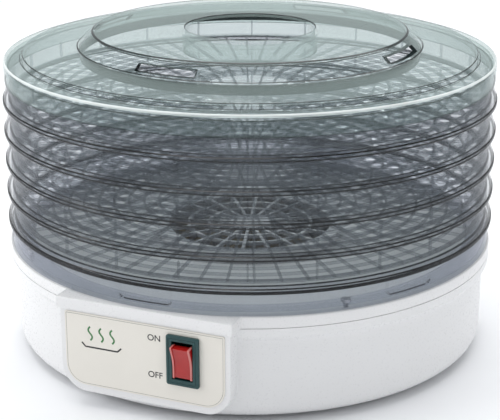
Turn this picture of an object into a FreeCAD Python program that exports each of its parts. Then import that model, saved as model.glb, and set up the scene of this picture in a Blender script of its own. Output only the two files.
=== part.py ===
import FreeCAD
import Part
import math
import os

import Sketcher
from FreeCAD import Placement, Rotation, Vector

# A round food dehydrator: a white base with the fan and heater, five clear trays and a clear lid.
# Millimetres. Origin on the vertical axis at the table top, +Z up, the control panel faces -Y.

SIZES = {
    # base housing and deck
    "foot_height": 3.5,
    "body_radius": 159,
    "flange_radius": 163.1,
    "flange_bottom": 59.5,
    "parting_height": 64.8,
    "deck_height": 72,
    "shell_wall": 2.5,
    "floor_round": 9,
    "cover_radius": 147,
    "cover_thickness": 2.3,
    "throat_radius": 58.5,
    "throat_wall": 2.5,
    "cover_play": 0.4,
    "cover_ledge_radius": 136,
    "flange_slope": 3.5,
    "housing_gap": 0.2,
    "deck_slope_outer": 157.8,
    "deck_slope_inner": 154.5,
    "rib_inner_radius": 152.5,
    "rib_outer_radius": 155.8,
    "grille_lift": 1.1,
    "grille_thickness": 2.2,
    "grille_overlap": 4.4,
    "ring_foot_radius": 147,
    "ring_screw_radius": 153.5,
    "tab_half_width": 17.5,
    "tab_depth": 2.5,
    "intake_inner": 22,
    "intake_outer": 54,
    "intake_half_width": 2.5,
    "foot_radius": 10,
    "foot_stem_radius": 4,
    "cover_screw_hole": 1.6,
    "cover_screw_ring": 142,
    "foot_ring": 120,
    "floor_lip_thickness": 5.2,
    # flat control boss on the front of the base
    "boss_plane": 163.2,
    "boss_depth": 18.5,
    "boss_hollow_depth": 22,
    "boss_half_width": 57.3,
    "boss_bottom": 10.5,
    "boss_corner": 17,
    "lip_plane": 165,
    "lip_half_width": 58.6,
    "label_half_width": 53.4,
    "label_top": 63.2,
    "label_bottom": 15.6,
    "label_corner": 13,
    "label_thickness": 0.6,
    # rocker switch
    "switch_x": 26.6,
    "switch_z": 43.5,
    "bezel_width": 21.4,
    "bezel_height": 32.2,
    "bezel_thickness": 2.2,
    "window_width": 13.6,
    "window_height": 24.4,
    "switch_width": 18.4,
    "switch_height": 28.4,
    "switch_depth": 20,
    "switch_play": 0.2,
    "window_depth": 12,
    "socket_radius": 1.26,
    "pin_radius": 1.2,
    "pin_reach": 7.6,
    "rocker_valley": 2.1,
    "rocker_back": 5,
    "blade_width": 6.3,
    "blade_length": 9,
    "blade_thickness": 0.8,
    "blade_spacing": 9,
    "rocker_width": 13,
    "rocker_half_height": 11,
    "rocker_tip": 5.8,
    "rocker_tilt": 11,
    "pivot_plane": 162.2,
    "inlet_plane": 162,
    "inlet_height": 30,
    "inlet_seat_radius": 13,
    "inlet_seat_depth": 9,
    "inlet_hole_radius": 6.2,
    "bush_flange_radius": 9,
    "bush_flange_thickness": 3.4,
    "bush_neck_length": 11,
    "bush_neck_radius": 6,
    "bush_bore_radius": 3.4,
    # ring on the deck and the trays on it
    "ring_radius": 161.8,
    "tray_seat": 86.7,
    "tray_pitch": 20,
    "tray_height": 23.85,
    "tray_radius": 163.7,
    "tray_neck": 160,
    "tray_wall": 2,
    "grid_thickness": 2,
    "grid_level": 4,
    "grid_radius": 158.6,
    "grid_gap": 0.3,
    "ledge_radius": 154.5,
    "ledge_thickness": 1.2,
    "hub_radius": 30,
    "hub_wall": 3,
    "hub_top": 8,
    "spoke_width": 2.4,
    "flare_bottom": 2.6,
    "flare_top": 6,
    "flare_radius": 162.1,
    "waist_radius": 160.3,
    "waist_height": 14,
    # lid
    "lid_radius": 162.5,
    "lid_skirt_bottom": 181,
    "lid_rim_height": 194.8,
    "lid_step_radius": 151.5,
    "lid_step_height": 198.2,
    "plateau_foot_radius": 113.8,
    "plateau_foot_height": 201,
    "plateau_radius": 103.7,
    "plateau_height": 210.8,
    "vent_radius": 43,
    "vent_depth": 15,
    "lid_wall": 2,
    "slot_width": 40,
    "slot_lift": 0.3,
    "slot_height": 5,
    "baffle_inner_drop": 3,
    "baffle_outer_drop": 1.2,
    "baffle_depth": 8,
    # fan, motor and heater
    "duct_radius": 60,
    "duct_wall": 1.2,
    "duct_bottom": 12,
    "duct_flange_radius": 73,
    "duct_screw_radius": 67,
    "duct_screw_hole": 1.7,
    "bracket_play": 0.75,
    "bracket_thickness": 1.6,
    "bracket_width": 16,
    "bracket_tab_height": 9,
    "motor_screw_x": 21,
    "motor_hole_radius": 2.1,
    "bridge_thickness": 1.5,
    "bridge_length": 54,
    "bridge_width": 14,
    "bush_radius": 5,
    "bush_length": 6,
    "bearing_play": 0.04,
    "shaft_radius": 2,
    "stack_bottom": 16,
    "stack_height": 18,
    "rotor_radius": 12.6,
    "air_gap": 0.4,
    "stack_width": 56,
    "stack_depth": 62,
    "stack_front": 19,
    "winding_width": 32,
    "winding_depth": 24,
    "winding_front": 24.3,
    "winding_overhang": 6,
    "window_front": 16.5,
    "leg_front": 30,
    "leg_play": 0.2,
    "fan_level": 42,
    "fan_radius": 50,
    "fan_hub_radius": 9,
    "fan_hub_height": 10,
    "blade_root": 7,
    "blade_chord": 24,
    "blade_sheet": 1.6,
    "clip_radius": 5,
    "clip_thickness": 0.8,
    "heater_level": 54,
    "heater_height": 13,
    "mica_thickness": 1,
    "heater_reach": 57.15,
    "coil_radius": 2,
    "coil_hole_radius": 2.6,
    "mica_lap": 4,
    "heater_tab_thickness": 1.4,
    "heater_tab_width": 8,
    "heater_tab_height": 5,
    "thermostat_place": 53.6,
    "thermal_fuse_place": 56,
    "block_length": 34,
    "block_width": 16,
    "block_height": 12,
    "block_x": -100,
    "block_y": 40,
    "block_pitch": 11,
}

TRAY_COUNT = 5
SPOKE_COUNT = 32
GRID_RINGS = 5
LID_TURN = -5
LID_SLOTS = 4
BLADES = 5
BLADE_PITCH = 24
INTAKE_SLOTS = 18
GRILLE_SPOKES = 20
RING_TABS = 6
RING_SCREWS = 4
DUCT_SCREWS = 3
COIL_RINGS = ("24", "41")
THROUGH = "60"  # long enough to cut through any inner piece
NEAR = 1e-6
TOUCH = 0.01

doc = FreeCAD.newDocument("food_dehydrator")
sheet = doc.addObject("Spreadsheet::Sheet", "sizes")
for row, (alias, number) in enumerate(SIZES.items(), start=1):
    sheet.set(f"A{row}", alias)
    sheet.set(f"B{row}", str(number))
    sheet.setAlias(f"B{row}", alias)
doc.recompute()


def size(expression):
    """The number that an expression on the sheet's cells gives."""
    result = sheet.evalExpression(bound(expression))
    return float(getattr(result, "Value", result))


def bound(expression):
    """The same expression with every cell's alias written as sizes.alias."""
    text = str(expression)
    words = []
    word = ""
    for sign in text + " ":
        if sign.isalnum() or sign in "_.":
            word += sign
            continue
        words.append("sizes." + word if word in SIZES else word)
        words.append(sign)
        word = ""
    return "".join(words).strip()


def bind(thing, settings):
    """Bind properties of a document object to expressions on the sheet."""
    for path, expression in settings.items():
        thing.setExpression(path, bound(expression))


def place(thing, x="0", y="0", z="0", axis=(0, 0, 1), angle=0):
    """Turn an object about an axis through its own origin and put it at bound coordinates."""
    thing.Placement = Placement(Vector(0, 0, 0), Rotation(Vector(*axis), angle))
    bind(thing, {".Placement.Base.x": x, ".Placement.Base.y": y, ".Placement.Base.z": z})


# ---------------------------------------------------------------- sketches and bodies

def new_body(label):
    """An empty PartDesign body under its node's name."""
    body = doc.addObject("PartDesign::Body", label)
    body.Label = label
    return body


def origin_plane(body, role):
    return next(item for item in body.Origin.OriginFeatures if item.Role == role)


def new_sketch(body, name, role, shift="0"):
    """A sketch on one of the body's own origin planes, moved along its normal by an expression."""
    sketch = body.newObject("Sketcher::SketchObject", name)
    sketch.AttachmentSupport = [(origin_plane(body, role), "")]
    sketch.MapMode = "FlatFace"
    if shift != "0":
        bind(sketch, {".AttachmentOffset.Base.z": shift})
    return sketch


def fix_point(sketch, geometry, end, along, across):
    """Hold one point of a sketch at bound coordinates measured from the sketch's origin."""
    for kind, expression, axis in (("DistanceX", along, -2), ("DistanceY", across, -1)):
        number = size(expression)
        if abs(number) < NEAR:
            sketch.addConstraint(Sketcher.Constraint("PointOnObject", geometry, end, axis))
            continue
        index = sketch.addConstraint(Sketcher.Constraint(kind, -1, 1, geometry, end, number))
        sketch.setExpression(f"Constraints[{index}]", bound(expression))


def draw_polygon(sketch, corners):
    """A closed outline with straight sides, its corners given as pairs of expressions."""
    points = [Vector(size(along), size(across), 0) for along, across in corners]
    first = sketch.GeometryCount
    for index, point in enumerate(points):
        sketch.addGeometry(Part.LineSegment(point, points[(index + 1) % len(points)]), False)
    for index in range(len(points)):
        after = first + (index + 1) % len(points)
        sketch.addConstraint(Sketcher.Constraint("Coincident", first + index, 2, after, 1))
    for index, (along, across) in enumerate(corners):
        fix_point(sketch, first + index, 1, along, across)


def draw_box(sketch, left, right, bottom, top):
    draw_polygon(sketch, [(left, bottom), (right, bottom), (right, top), (left, top)])


def draw_switch_hole(sketch):
    """The hole that the switch's box goes through, with a little play all round."""
    draw_box(sketch, "switch_x - switch_width / 2 - switch_play", "switch_x + switch_width / 2 + switch_play",
             "switch_z - switch_height / 2 - switch_play", "switch_z + switch_height / 2 + switch_play")


def draw_circle(sketch, radius, along="0", across="0"):
    circle = Part.Circle(Vector(size(along), size(across), 0), Vector(0, 0, 1), size(radius))
    index = sketch.addGeometry(circle, False)
    fix_point(sketch, index, 3, along, across)
    held = sketch.addConstraint(Sketcher.Constraint("Radius", index, size(radius)))
    sketch.setExpression(f"Constraints[{held}]", bound(radius))


def draw_tub(sketch, half_width, bottom, top, radius):
    """A rectangle with its two lower corners rounded, symmetric about the sketch's upright axis."""
    half, low, high, bend = size(half_width), size(bottom), size(top), size(radius)
    flat = half - bend
    first = sketch.GeometryCount
    right_circle = Part.Circle(Vector(flat, low + bend, 0), Vector(0, 0, 1), bend)
    left_circle = Part.Circle(Vector(-flat, low + bend, 0), Vector(0, 0, 1), bend)
    sketch.addGeometry(Part.LineSegment(Vector(-half, high, 0), Vector(half, high, 0)), False)
    sketch.addGeometry(Part.LineSegment(Vector(half, high, 0), Vector(half, low + bend, 0)), False)
    sketch.addGeometry(Part.ArcOfCircle(right_circle, -math.pi / 2, 0), False)
    sketch.addGeometry(Part.LineSegment(Vector(flat, low, 0), Vector(-flat, low, 0)), False)
    sketch.addGeometry(Part.ArcOfCircle(left_circle, math.pi, 1.5 * math.pi), False)
    sketch.addGeometry(Part.LineSegment(Vector(-half, low + bend, 0), Vector(-half, high, 0)), False)
    top_line, right, right_arc, floor, left_arc, left = range(first, first + 6)
    joins = [("Coincident", top_line, 2, right, 1), ("Coincident", left, 2, top_line, 1),
             ("Tangent", right, 2, right_arc, 2), ("Tangent", right_arc, 1, floor, 1),
             ("Tangent", floor, 2, left_arc, 2), ("Tangent", left_arc, 1, left, 1)]
    for join in joins:
        sketch.addConstraint(Sketcher.Constraint(*join))
    sketch.addConstraint(Sketcher.Constraint("Vertical", right))
    sketch.addConstraint(Sketcher.Constraint("Vertical", left))
    sketch.addConstraint(Sketcher.Constraint("Equal", right_arc, left_arc))
    fix_point(sketch, top_line, 1, f"-({half_width})", top)
    fix_point(sketch, top_line, 2, half_width, top)
    held = sketch.addConstraint(Sketcher.Constraint("Radius", right_arc, bend))
    sketch.setExpression(f"Constraints[{held}]", bound(radius))
    for end in (1, 2):
        held = sketch.addConstraint(Sketcher.Constraint("DistanceY", -1, 1, floor, end, low))
        sketch.setExpression(f"Constraints[{held}]", bound(bottom))


def revolve(body, name, outlines):
    """Turn outlines of (radius, height) about the body's upright axis."""
    sketch = new_sketch(body, name + "_outline", "XZ_Plane")
    for outline in outlines:
        draw_polygon(sketch, outline)
    feature = body.newObject("PartDesign::Revolution", name)
    feature.Profile = sketch
    feature.ReferenceAxis = (sketch, ["V_Axis"])
    feature.Angle = 360
    sketch.Visibility = False
    doc.recompute()
    return feature


def pad(body, name, sketch, length):
    feature = body.newObject("PartDesign::Pad", name)
    feature.Profile = sketch
    bind(feature, {"Length": length})
    doc.recompute()
    return feature


def pocket(body, name, sketch, length):
    """Cut along the sketch's own normal, and make sure that the cut took something away."""
    before = body.Shape.Volume
    feature = body.newObject("PartDesign::Pocket", name)
    feature.Profile = sketch
    feature.Reversed = True
    bind(feature, {"Length": length})
    doc.recompute()
    if body.Shape.Volume >= before - NEAR:
        raise RuntimeError(f"{body.Label}: {name} cut nothing")
    return feature


def polar(body, name, features, count):
    """Repeat features round the upright axis."""
    pattern = body.newObject("PartDesign::PolarPattern", name)
    pattern.Originals = features
    pattern.Axis = (origin_axis(body), [""])
    pattern.Angle = 360
    pattern.Occurrences = count
    body.Tip = pattern
    doc.recompute()
    return pattern


def origin_axis(body):
    return next(item for item in body.Origin.OriginFeatures if item.Role == "Z_Axis")


def round_rings(body, radius, rings):
    """Fillet the circular edges at the given (radius, height) pairs."""
    names = []
    for ring_radius, height in rings:
        for number, edge in enumerate(body.Shape.Edges, start=1):
            if not isinstance(edge.Curve, Part.Circle):
                continue
            same_radius = abs(edge.Curve.Radius - size(ring_radius)) < TOUCH
            if same_radius and abs(edge.Curve.Center.z - size(height)) < TOUCH:
                names.append(f"Edge{number}")
    add_fillet(body, radius, names)


def round_edges(body, radius, chosen):
    """Fillet the edges for which chosen(edge) is true."""
    names = [f"Edge{number}" for number, edge in enumerate(body.Shape.Edges, start=1) if chosen(edge)]
    add_fillet(body, radius, names)


def add_fillet(body, radius, names):
    if not names:
        raise RuntimeError(f"{body.Label}: no edge to round")
    tip = body.Tip
    feature = body.newObject("PartDesign::Fillet", f"{body.Name}_round_{len(body.Group)}")
    feature.Base = (tip, names)
    bind(feature, {"Radius": radius})
    doc.recompute()


# ---------------------------------------------------------------- primitives and groups

def cylinder(name, radius, height, x="0", y="0", z="0", axis=(0, 0, 1), angle=0):
    thing = doc.addObject("Part::Cylinder", name)
    bind(thing, {"Radius": radius, "Height": height})
    place(thing, x, y, z, axis, angle)
    return thing


def box(name, length, width, height, x="0", y="0", z="0", axis=(0, 0, 1), angle=0):
    thing = doc.addObject("Part::Box", name)
    bind(thing, {"Length": length, "Width": width, "Height": height})
    place(thing, x, y, z, axis, angle)
    return thing


def torus(name, ring, thickness, z):
    thing = doc.addObject("Part::Torus", name)
    bind(thing, {"Radius1": ring, "Radius2": thickness})
    place(thing, z=z)
    return thing


def cut(name, base, tools):
    """Take tools away from base."""
    tool = tools[0] if len(tools) == 1 else fuse(name + "_tools", tools)
    thing = doc.addObject("Part::Cut", name)
    thing.Base = base
    thing.Tool = tool
    thing.Label = name
    return thing


def fuse(name, things):
    thing = doc.addObject("Part::MultiFuse", name)
    thing.Shapes = things
    thing.Label = name
    return thing


def group(name, things):
    """Several separate solids in one node."""
    thing = doc.addObject("Part::Compound", name)
    thing.Links = things
    thing.Label = name
    return thing


def around(count, start=0):
    """Evenly spaced angles in degrees."""
    return [start + 360 * index / count for index in range(count)]


def on_circle(radius, angle):
    """Bound x and y of a point at a radius and an azimuth measured from +X."""
    return f"({radius}) * cos({angle} deg)", f"({radius}) * sin({angle} deg)"


def screws(name, head_radius, head_height, shank_radius, shank_length, places, z, up=True):
    """Pan-head screws standing at (x, y) places: head below z, shank above it, or the other way."""
    made = []
    for index, (x, y) in enumerate(places):
        head_z = f"({z}) - {head_height}" if up else z
        shank_z = z if up else f"({z}) - {shank_length}"
        head = cylinder(f"{name}_head_{index}", head_radius, head_height, x, y, head_z)
        shank = cylinder(f"{name}_shank_{index}", shank_radius, shank_length, x, y, shank_z)
        made.append(fuse(f"{name}_{index}", [head, shank]))
    return group(name, made)


# ---------------------------------------------------------------- base

SCREW_RING = [on_circle("cover_screw_ring", angle) for angle in around(6, 30)]
FOOT_RING = [on_circle("foot_ring", angle) for angle in around(4, 45)]


def make_housing():
    """White bowl: round wall, upper flange, inner lip for the floor plate, and the flat boss."""
    body = new_body("base_housing")
    wall = "body_radius - shell_wall"
    outline = [
        ("cover_radius + cover_play", "foot_height"),
        ("body_radius", "foot_height"),
        ("body_radius", "flange_bottom - flange_slope"),
        ("flange_radius", "flange_bottom"),
        ("flange_radius", "parting_height - housing_gap"),
        (wall, "parting_height - housing_gap"),
        (wall, "foot_height + 9"),
        (f"{wall} - 5", "foot_height + floor_lip_thickness"),
        ("cover_ledge_radius", "foot_height + floor_lip_thickness"),
        ("cover_ledge_radius", "foot_height + cover_thickness + cover_play"),
        ("cover_radius + cover_play", "foot_height + cover_thickness + cover_play"),
    ]
    revolve(body, "bowl", [outline])
    round_rings(body, "floor_round - 0.5", [("body_radius", "foot_height")])

    boss = new_sketch(body, "boss_sketch", "XZ_Plane", "boss_plane - boss_depth")
    draw_tub(boss, "boss_half_width", "boss_bottom", "parting_height - housing_gap", "boss_corner")
    pad(body, "boss", boss, "boss_depth")
    hollow = new_sketch(body, "boss_hollow_sketch", "XZ_Plane", "boss_plane - shell_wall - boss_hollow_depth")
    draw_tub(hollow, "boss_half_width - shell_wall", "boss_bottom + shell_wall", "parting_height + 1",
             "boss_corner - shell_wall")
    pocket(body, "boss_hollow", hollow, "boss_hollow_depth")
    window = new_sketch(body, "switch_window_sketch", "XZ_Plane", "boss_plane - 6")
    draw_switch_hole(window)
    pocket(body, "switch_window", window, "8")

    seat = new_sketch(body, "inlet_seat_sketch", "XZ_Plane", "-inlet_plane")
    draw_circle(seat, "inlet_seat_radius", "0", "inlet_height")
    pad(body, "inlet_seat", seat, "inlet_seat_depth")
    inlet = new_sketch(body, "cord_inlet_sketch", "XZ_Plane", "-inlet_plane - 2")
    draw_circle(inlet, "inlet_hole_radius", "0", "inlet_height")
    pocket(body, "cord_inlet", inlet, "14")

    holes = new_sketch(body, "screw_hole_sketch", "XY_Plane", "foot_height + 1")
    for x, y in SCREW_RING:
        draw_circle(holes, "cover_screw_hole", x, y)
    pocket(body, "screw_holes", holes, "8")
    return body


def make_deck():
    """White cap: upper flange, lip over the boss, flat deck and the hot-air throat."""
    body = new_body("top_deck")
    outline = [
        ("throat_radius", "parting_height"),
        ("flange_radius", "parting_height"),
        ("flange_radius", "deck_height"),
        ("deck_slope_outer", "deck_height"),
        ("deck_slope_inner", "parting_height + throat_wall"),
        ("throat_radius + throat_wall", "parting_height + throat_wall"),
        ("throat_radius + throat_wall", "deck_height + 1"),
        ("throat_radius", "deck_height + 1"),
    ]
    rib = [
        ("rib_inner_radius", "parting_height - 5"),
        ("rib_outer_radius", "parting_height - 5"),
        ("rib_outer_radius", "parting_height + 1"),
        ("rib_inner_radius", "parting_height + 1"),
    ]
    revolve(body, "cap", [outline])
    revolve(body, "locating_rib", [rib])
    lip = new_sketch(body, "lip_sketch", "XY_Plane", "parting_height")
    draw_box(lip, "-lip_half_width", "lip_half_width", "-lip_plane", "-150")
    pad(body, "lip", lip, "deck_height - parting_height")
    front = -size("lip_plane")

    def lip_front(edge):
        points = [vertex.Point for vertex in edge.Vertexes]
        return len(points) == 2 and all(abs(point.y - front) < TOUCH for point in points)
    round_edges(body, "1.2", lip_front)
    notch = new_sketch(body, "boss_room_sketch", "XY_Plane", "parting_height - 6")
    draw_box(notch, "-boss_half_width - 0.5", "boss_half_width + 0.5", "-170", "-139")
    pocket(body, "boss_room", notch, "6")
    holes = new_sketch(body, "duct_screw_hole_sketch", "XY_Plane", "parting_height - 1")
    for angle in around(DUCT_SCREWS, 90):
        draw_circle(holes, "1.3", *on_circle("duct_screw_radius", angle))
    pocket(body, "duct_screw_holes", holes, "2.6")
    return body


def make_grille():
    """Hot-air outlet grille: rings joined by spokes, dropped over the throat."""
    body = new_body("outlet_grille")
    bottom = "deck_height + grille_lift"
    top = "deck_height + grille_lift + grille_thickness"
    edge = "throat_radius + grille_overlap"
    rings = []
    for inner, outer in (("throat_radius - 3", edge), ("41", "43"), ("27", "29"), ("0.5", "14")):
        rings.append([(inner, bottom), (outer, bottom), (outer, top), (inner, top)])
    rim = [
        ("throat_radius + 2.8", "deck_height - 2"),
        (edge, "deck_height - 2"),
        (edge, top),
        ("throat_radius + 2.8", top),
    ]
    revolve(body, "rings", rings)
    revolve(body, "rim", [rim])
    spoke = new_sketch(body, "spoke_sketch", "XY_Plane", bottom)
    draw_box(spoke, "10", "throat_radius + 1", "-1", "1")
    bar = pad(body, "spoke", spoke, "grille_thickness")
    polar(body, "spokes", [bar], GRILLE_SPOKES)
    return body


def make_ring():
    """Smoky clear ring that stands on the deck and carries the lowest tray."""
    body = new_body("base_ring")
    neck = "tray_seat + grid_level - 0.15"
    outline = [
        ("ring_foot_radius", "deck_height + housing_gap"),
        ("ring_radius", "deck_height + housing_gap"),
        ("ring_radius", "tray_seat - 1"),
        ("tray_neck + 0.4", "tray_seat"),
        ("tray_neck", neck),
        ("tray_neck - tray_wall", neck),
        ("ring_radius - 2 * tray_wall", "deck_height + housing_gap + tray_wall"),
        ("ring_foot_radius", "deck_height + housing_gap + tray_wall"),
    ]
    revolve(body, "ring", [outline])
    tab = new_sketch(body, "tab_sketch", "XZ_Plane", "ring_radius - tab_depth")
    draw_box(tab, "-tab_half_width", "tab_half_width", "tray_seat - 10.6", "tray_seat - 1.2")
    recess = pocket(body, "tab", tab, "6")
    tabs = polar(body, "tabs", [recess], RING_TABS)
    if tabs.Shape.Volume >= recess.Shape.Volume:
        raise RuntimeError("base_ring: the tabs were not repeated")
    holes = new_sketch(body, "ring_screw_hole_sketch", "XY_Plane", "deck_height - 1")
    for angle in around(RING_SCREWS, 45):
        draw_circle(holes, "1.7", *on_circle("ring_screw_radius", angle))
    pocket(body, "ring_screw_holes", holes, "6")
    return body


def make_label():
    """Cream label plate on the boss, open round the switch."""
    body = new_body("control_label")
    sketch = new_sketch(body, "plate_sketch", "XZ_Plane", "boss_plane")
    draw_tub(sketch, "label_half_width", "label_bottom", "label_top", "label_corner")
    draw_switch_hole(sketch)
    pad(body, "plate", sketch, "label_thickness")
    return body


def make_floor_plate():
    """Flat plate that closes the bowl from below, with the air intake slots."""
    body = new_body("bottom_cover")
    sketch = new_sketch(body, "plate_sketch", "XY_Plane", "foot_height")
    draw_circle(sketch, "cover_radius")
    for x, y in SCREW_RING:
        draw_circle(sketch, "cover_screw_hole", x, y)
    for x, y in FOOT_RING:
        draw_circle(sketch, "foot_stem_radius + 0.1", x, y)
    pad(body, "plate", sketch, "cover_thickness")
    slot = new_sketch(body, "intake_sketch", "XY_Plane", "foot_height - 1")
    draw_box(slot, "intake_inner", "intake_outer", "-intake_half_width", "intake_half_width")
    opening = pocket(body, "intake", slot, "cover_thickness + 2")
    slots = polar(body, "intakes", [opening], INTAKE_SLOTS)
    if slots.Shape.Volume >= opening.Shape.Volume:
        raise RuntimeError("bottom_cover: the slots were not repeated")
    return body


def make_feet():
    feet = []
    for index, (x, y) in enumerate(FOOT_RING):
        sole = cylinder(f"foot_sole_{index}", "foot_radius", "foot_height", x, y, "0")
        stem = cylinder(f"foot_stem_{index}", "foot_stem_radius", "foot_height + cover_thickness + 1",
                        x, y, "0")
        feet.append(fuse(f"foot_{index}", [sole, stem]))
    return group("foot_pads", feet)


def make_inlet_bush():
    """Rubber bush in the back wall, open for the mains lead."""
    backward = dict(x="0", z="inlet_height", axis=(1, 0, 0), angle=-90)
    flange = cylinder("bush_flange", "bush_flange_radius", "bush_flange_thickness", y="inlet_plane + 0.1",
                      **backward)
    neck = cylinder("bush_neck", "bush_neck_radius", "bush_neck_length",
                    y="inlet_plane + 0.2 - bush_neck_length", **backward)
    bore = cylinder("bush_bore", "bush_bore_radius", "20", y="inlet_plane - 14", **backward)
    return cut("cord_inlet_bush", fuse("bush_solid", [flange, neck]), [bore])


# ---------------------------------------------------------------- rocker switch

def make_switch_body():
    """Dark green switch moulding: bezel in front of the label and a box behind it."""
    body = new_body("switch_body")
    face = "boss_plane + label_thickness"
    shell = new_sketch(body, "box_sketch", "XZ_Plane", f"{face} - switch_depth")
    draw_box(shell, "switch_x - switch_width / 2", "switch_x + switch_width / 2",
             "switch_z - switch_height / 2", "switch_z + switch_height / 2")
    pad(body, "box", shell, "switch_depth")
    frame = new_sketch(body, "bezel_sketch", "XZ_Plane", face)
    draw_box(frame, "switch_x - bezel_width / 2", "switch_x + bezel_width / 2",
             "switch_z - bezel_height / 2", "switch_z + bezel_height / 2")
    pad(body, "bezel", frame, "bezel_thickness")
    window = new_sketch(body, "window_sketch", "XZ_Plane", f"{face} - window_depth")
    draw_box(window, "switch_x - window_width / 2", "switch_x + window_width / 2",
             "switch_z - window_height / 2", "switch_z + window_height / 2")
    pocket(body, "window", window, "20")
    sockets = new_sketch(body, "socket_sketch", "YZ_Plane", "switch_x - 7.9")
    draw_circle(sockets, "socket_radius", "-pivot_plane", "switch_z")
    pocket(body, "sockets", sockets, "15.8")
    front = -size(f"{face} + bezel_thickness")
    half_width = size("bezel_width") / 2
    half_height = size("bezel_height") / 2

    def bezel_edge(edge):
        points = [vertex.Point for vertex in edge.Vertexes]
        outside = all(abs(point.x - size("switch_x")) > half_width - TOUCH
                      or abs(point.z - size("switch_z")) > half_height - TOUCH for point in points)
        return len(points) == 2 and outside and all(abs(point.y - front) < TOUCH for point in points)
    round_edges(body, "0.8", bezel_edge)
    return body


def make_rocker():
    """Red rocker cap with a shallow valley, on two stub pins, tilted to the off position."""
    body = new_body("switch_rocker")
    sketch = new_sketch(body, "side_sketch", "YZ_Plane", "-rocker_width / 2")
    draw_polygon(sketch, [
        ("-rocker_tip", "rocker_half_height"),
        ("-rocker_tip + rocker_valley", "0"),
        ("-rocker_tip", "-rocker_half_height"),
        ("0.5", "-rocker_half_height + 0.6"),
        ("rocker_back", "-rocker_back / 2"),
        ("rocker_back", "rocker_back / 2"),
        ("0.5", "rocker_half_height - 0.6"),
    ])
    pad(body, "cap", sketch, "rocker_width")
    pins = new_sketch(body, "pin_sketch", "YZ_Plane", "-pin_reach")
    draw_circle(pins, "pin_radius")
    pad(body, "pins", pins, "2 * pin_reach")
    place(body, "switch_x", "-pivot_plane", "switch_z", axis=(1, 0, 0), angle=SIZES["rocker_tilt"])
    return body


def make_terminals():
    """Three brass blades behind the switch."""
    blades = []
    for index in range(3):
        height = f"switch_z + blade_spacing * {index - 1}"
        blades.append(box(f"blade_{index}", "blade_width", "blade_length", "blade_thickness",
                          "switch_x - blade_width / 2", "-(boss_plane + label_thickness - switch_depth)",
                          height))
    return group("switch_terminals", blades)


# ---------------------------------------------------------------- fan, motor and heater

def make_duct():
    """Sheet steel shroud under the deck, round the fan and the heater."""
    top = "parting_height - 0.1"
    wall = cylinder("duct_tube", "duct_radius", f"{top} - duct_bottom", z="duct_bottom")
    flange = cylinder("duct_flange", "duct_flange_radius", "duct_wall", z=f"{top} - duct_wall")
    bore = cylinder("duct_bore", "duct_radius - duct_wall", "80", z="5")
    holes = []
    for index, angle in enumerate(around(DUCT_SCREWS, 90)):
        x, y = on_circle("duct_screw_radius", angle)
        holes.append(cylinder(f"duct_hole_{index}", "duct_screw_hole", "6", x, y, f"{top} - 4"))
    return cut("air_duct", fuse("duct_solid", [wall, flange]), [bore] + holes)


def motor_holes(name):
    """The two holes that the motor's long screws go through."""
    return [cylinder(f"{name}_hole_{side}", "motor_hole_radius", THROUGH, x, z="5")
            for side, x in (("left", "-motor_screw_x"), ("right", "motor_screw_x"))]


def make_bracket():
    """Steel strap across the duct that the motor hangs on."""
    level = "stack_bottom + stack_height + bracket_thickness"
    reach = "duct_radius - duct_wall - bracket_play"
    strap = box("bracket_strap", f"2 * ({reach})", "bracket_width", "bracket_thickness", f"-({reach})",
                "-bracket_width / 2", level)
    tabs = []
    for name, x in (("left", f"-({reach})"), ("right", f"{reach} - bracket_thickness")):
        tabs.append(box(f"bracket_tab_{name}", "bracket_thickness", "bracket_width", "bracket_tab_height", x,
                        "-bracket_width / 2", f"({level}) - bracket_tab_height"))
    centre = cylinder("bracket_hole", "8", "10", z=f"({level}) - 3")
    return cut("motor_bracket", fuse("bracket_solid", [strap] + tabs), [centre] + motor_holes("bracket"))


def make_stator():
    """Shaded-pole lamination stack with the rotor tunnel and the window for the winding."""
    stack = box("stack_block", "stack_width", "stack_depth", "stack_height", "-stack_width / 2",
                "-stack_front", "stack_bottom")
    tunnel = cylinder("rotor_tunnel", "rotor_radius + air_gap", THROUGH, z="5")
    window = box("winding_window", "winding_width + 2", "leg_front - window_front", THROUGH,
                 "-winding_width / 2 - 1", "window_front", "5")
    return cut("motor_stator", stack, [tunnel, window] + motor_holes("stack"))


def make_coil():
    """Winding on the closed leg of the stack."""
    outer = box("winding_block", "winding_width", "winding_depth", "stack_height + 2 * winding_overhang",
                "-winding_width / 2", "winding_front", "stack_bottom - winding_overhang")
    leg = box("winding_core", "winding_width + 8", "stack_depth - stack_front - leg_front + 2 * leg_play",
              "stack_height + leg_play", "-winding_width / 2 - 4", "leg_front - leg_play",
              "stack_bottom - leg_play / 2")
    return cut("motor_coil", outer, [leg])


def bearing_bridge(name, plate_z, boss_z):
    """Sheet bridge across the stack with a boss that holds a bearing bush."""
    plate = box(f"{name}_plate", "bridge_length", "bridge_width", "bridge_thickness", "-bridge_length / 2",
                "-bridge_width / 2", plate_z)
    boss = cylinder(f"{name}_boss", "bush_radius + 2", "bush_length + 0.5", z=boss_z)
    bore = cylinder(f"{name}_bore", "bush_radius", "30", z=f"({boss_z}) - 5")
    return cut(name, fuse(f"{name}_solid", [plate, boss]), [bore] + motor_holes(name))


def bearing_bush(name, z):
    outer = cylinder(f"{name}_outer", "bush_radius", "bush_length", z=z)
    bore = cylinder(f"{name}_bore", "shaft_radius + bearing_play", "2 * bush_length", z=f"({z}) - 3")
    return cut(name, outer, [bore])


def make_rotor():
    outer = cylinder("rotor_drum", "rotor_radius", "stack_height", z="stack_bottom")
    bore = cylinder("rotor_bore", "shaft_radius", THROUGH, z="5")
    return cut("motor_rotor", outer, [bore])


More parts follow.
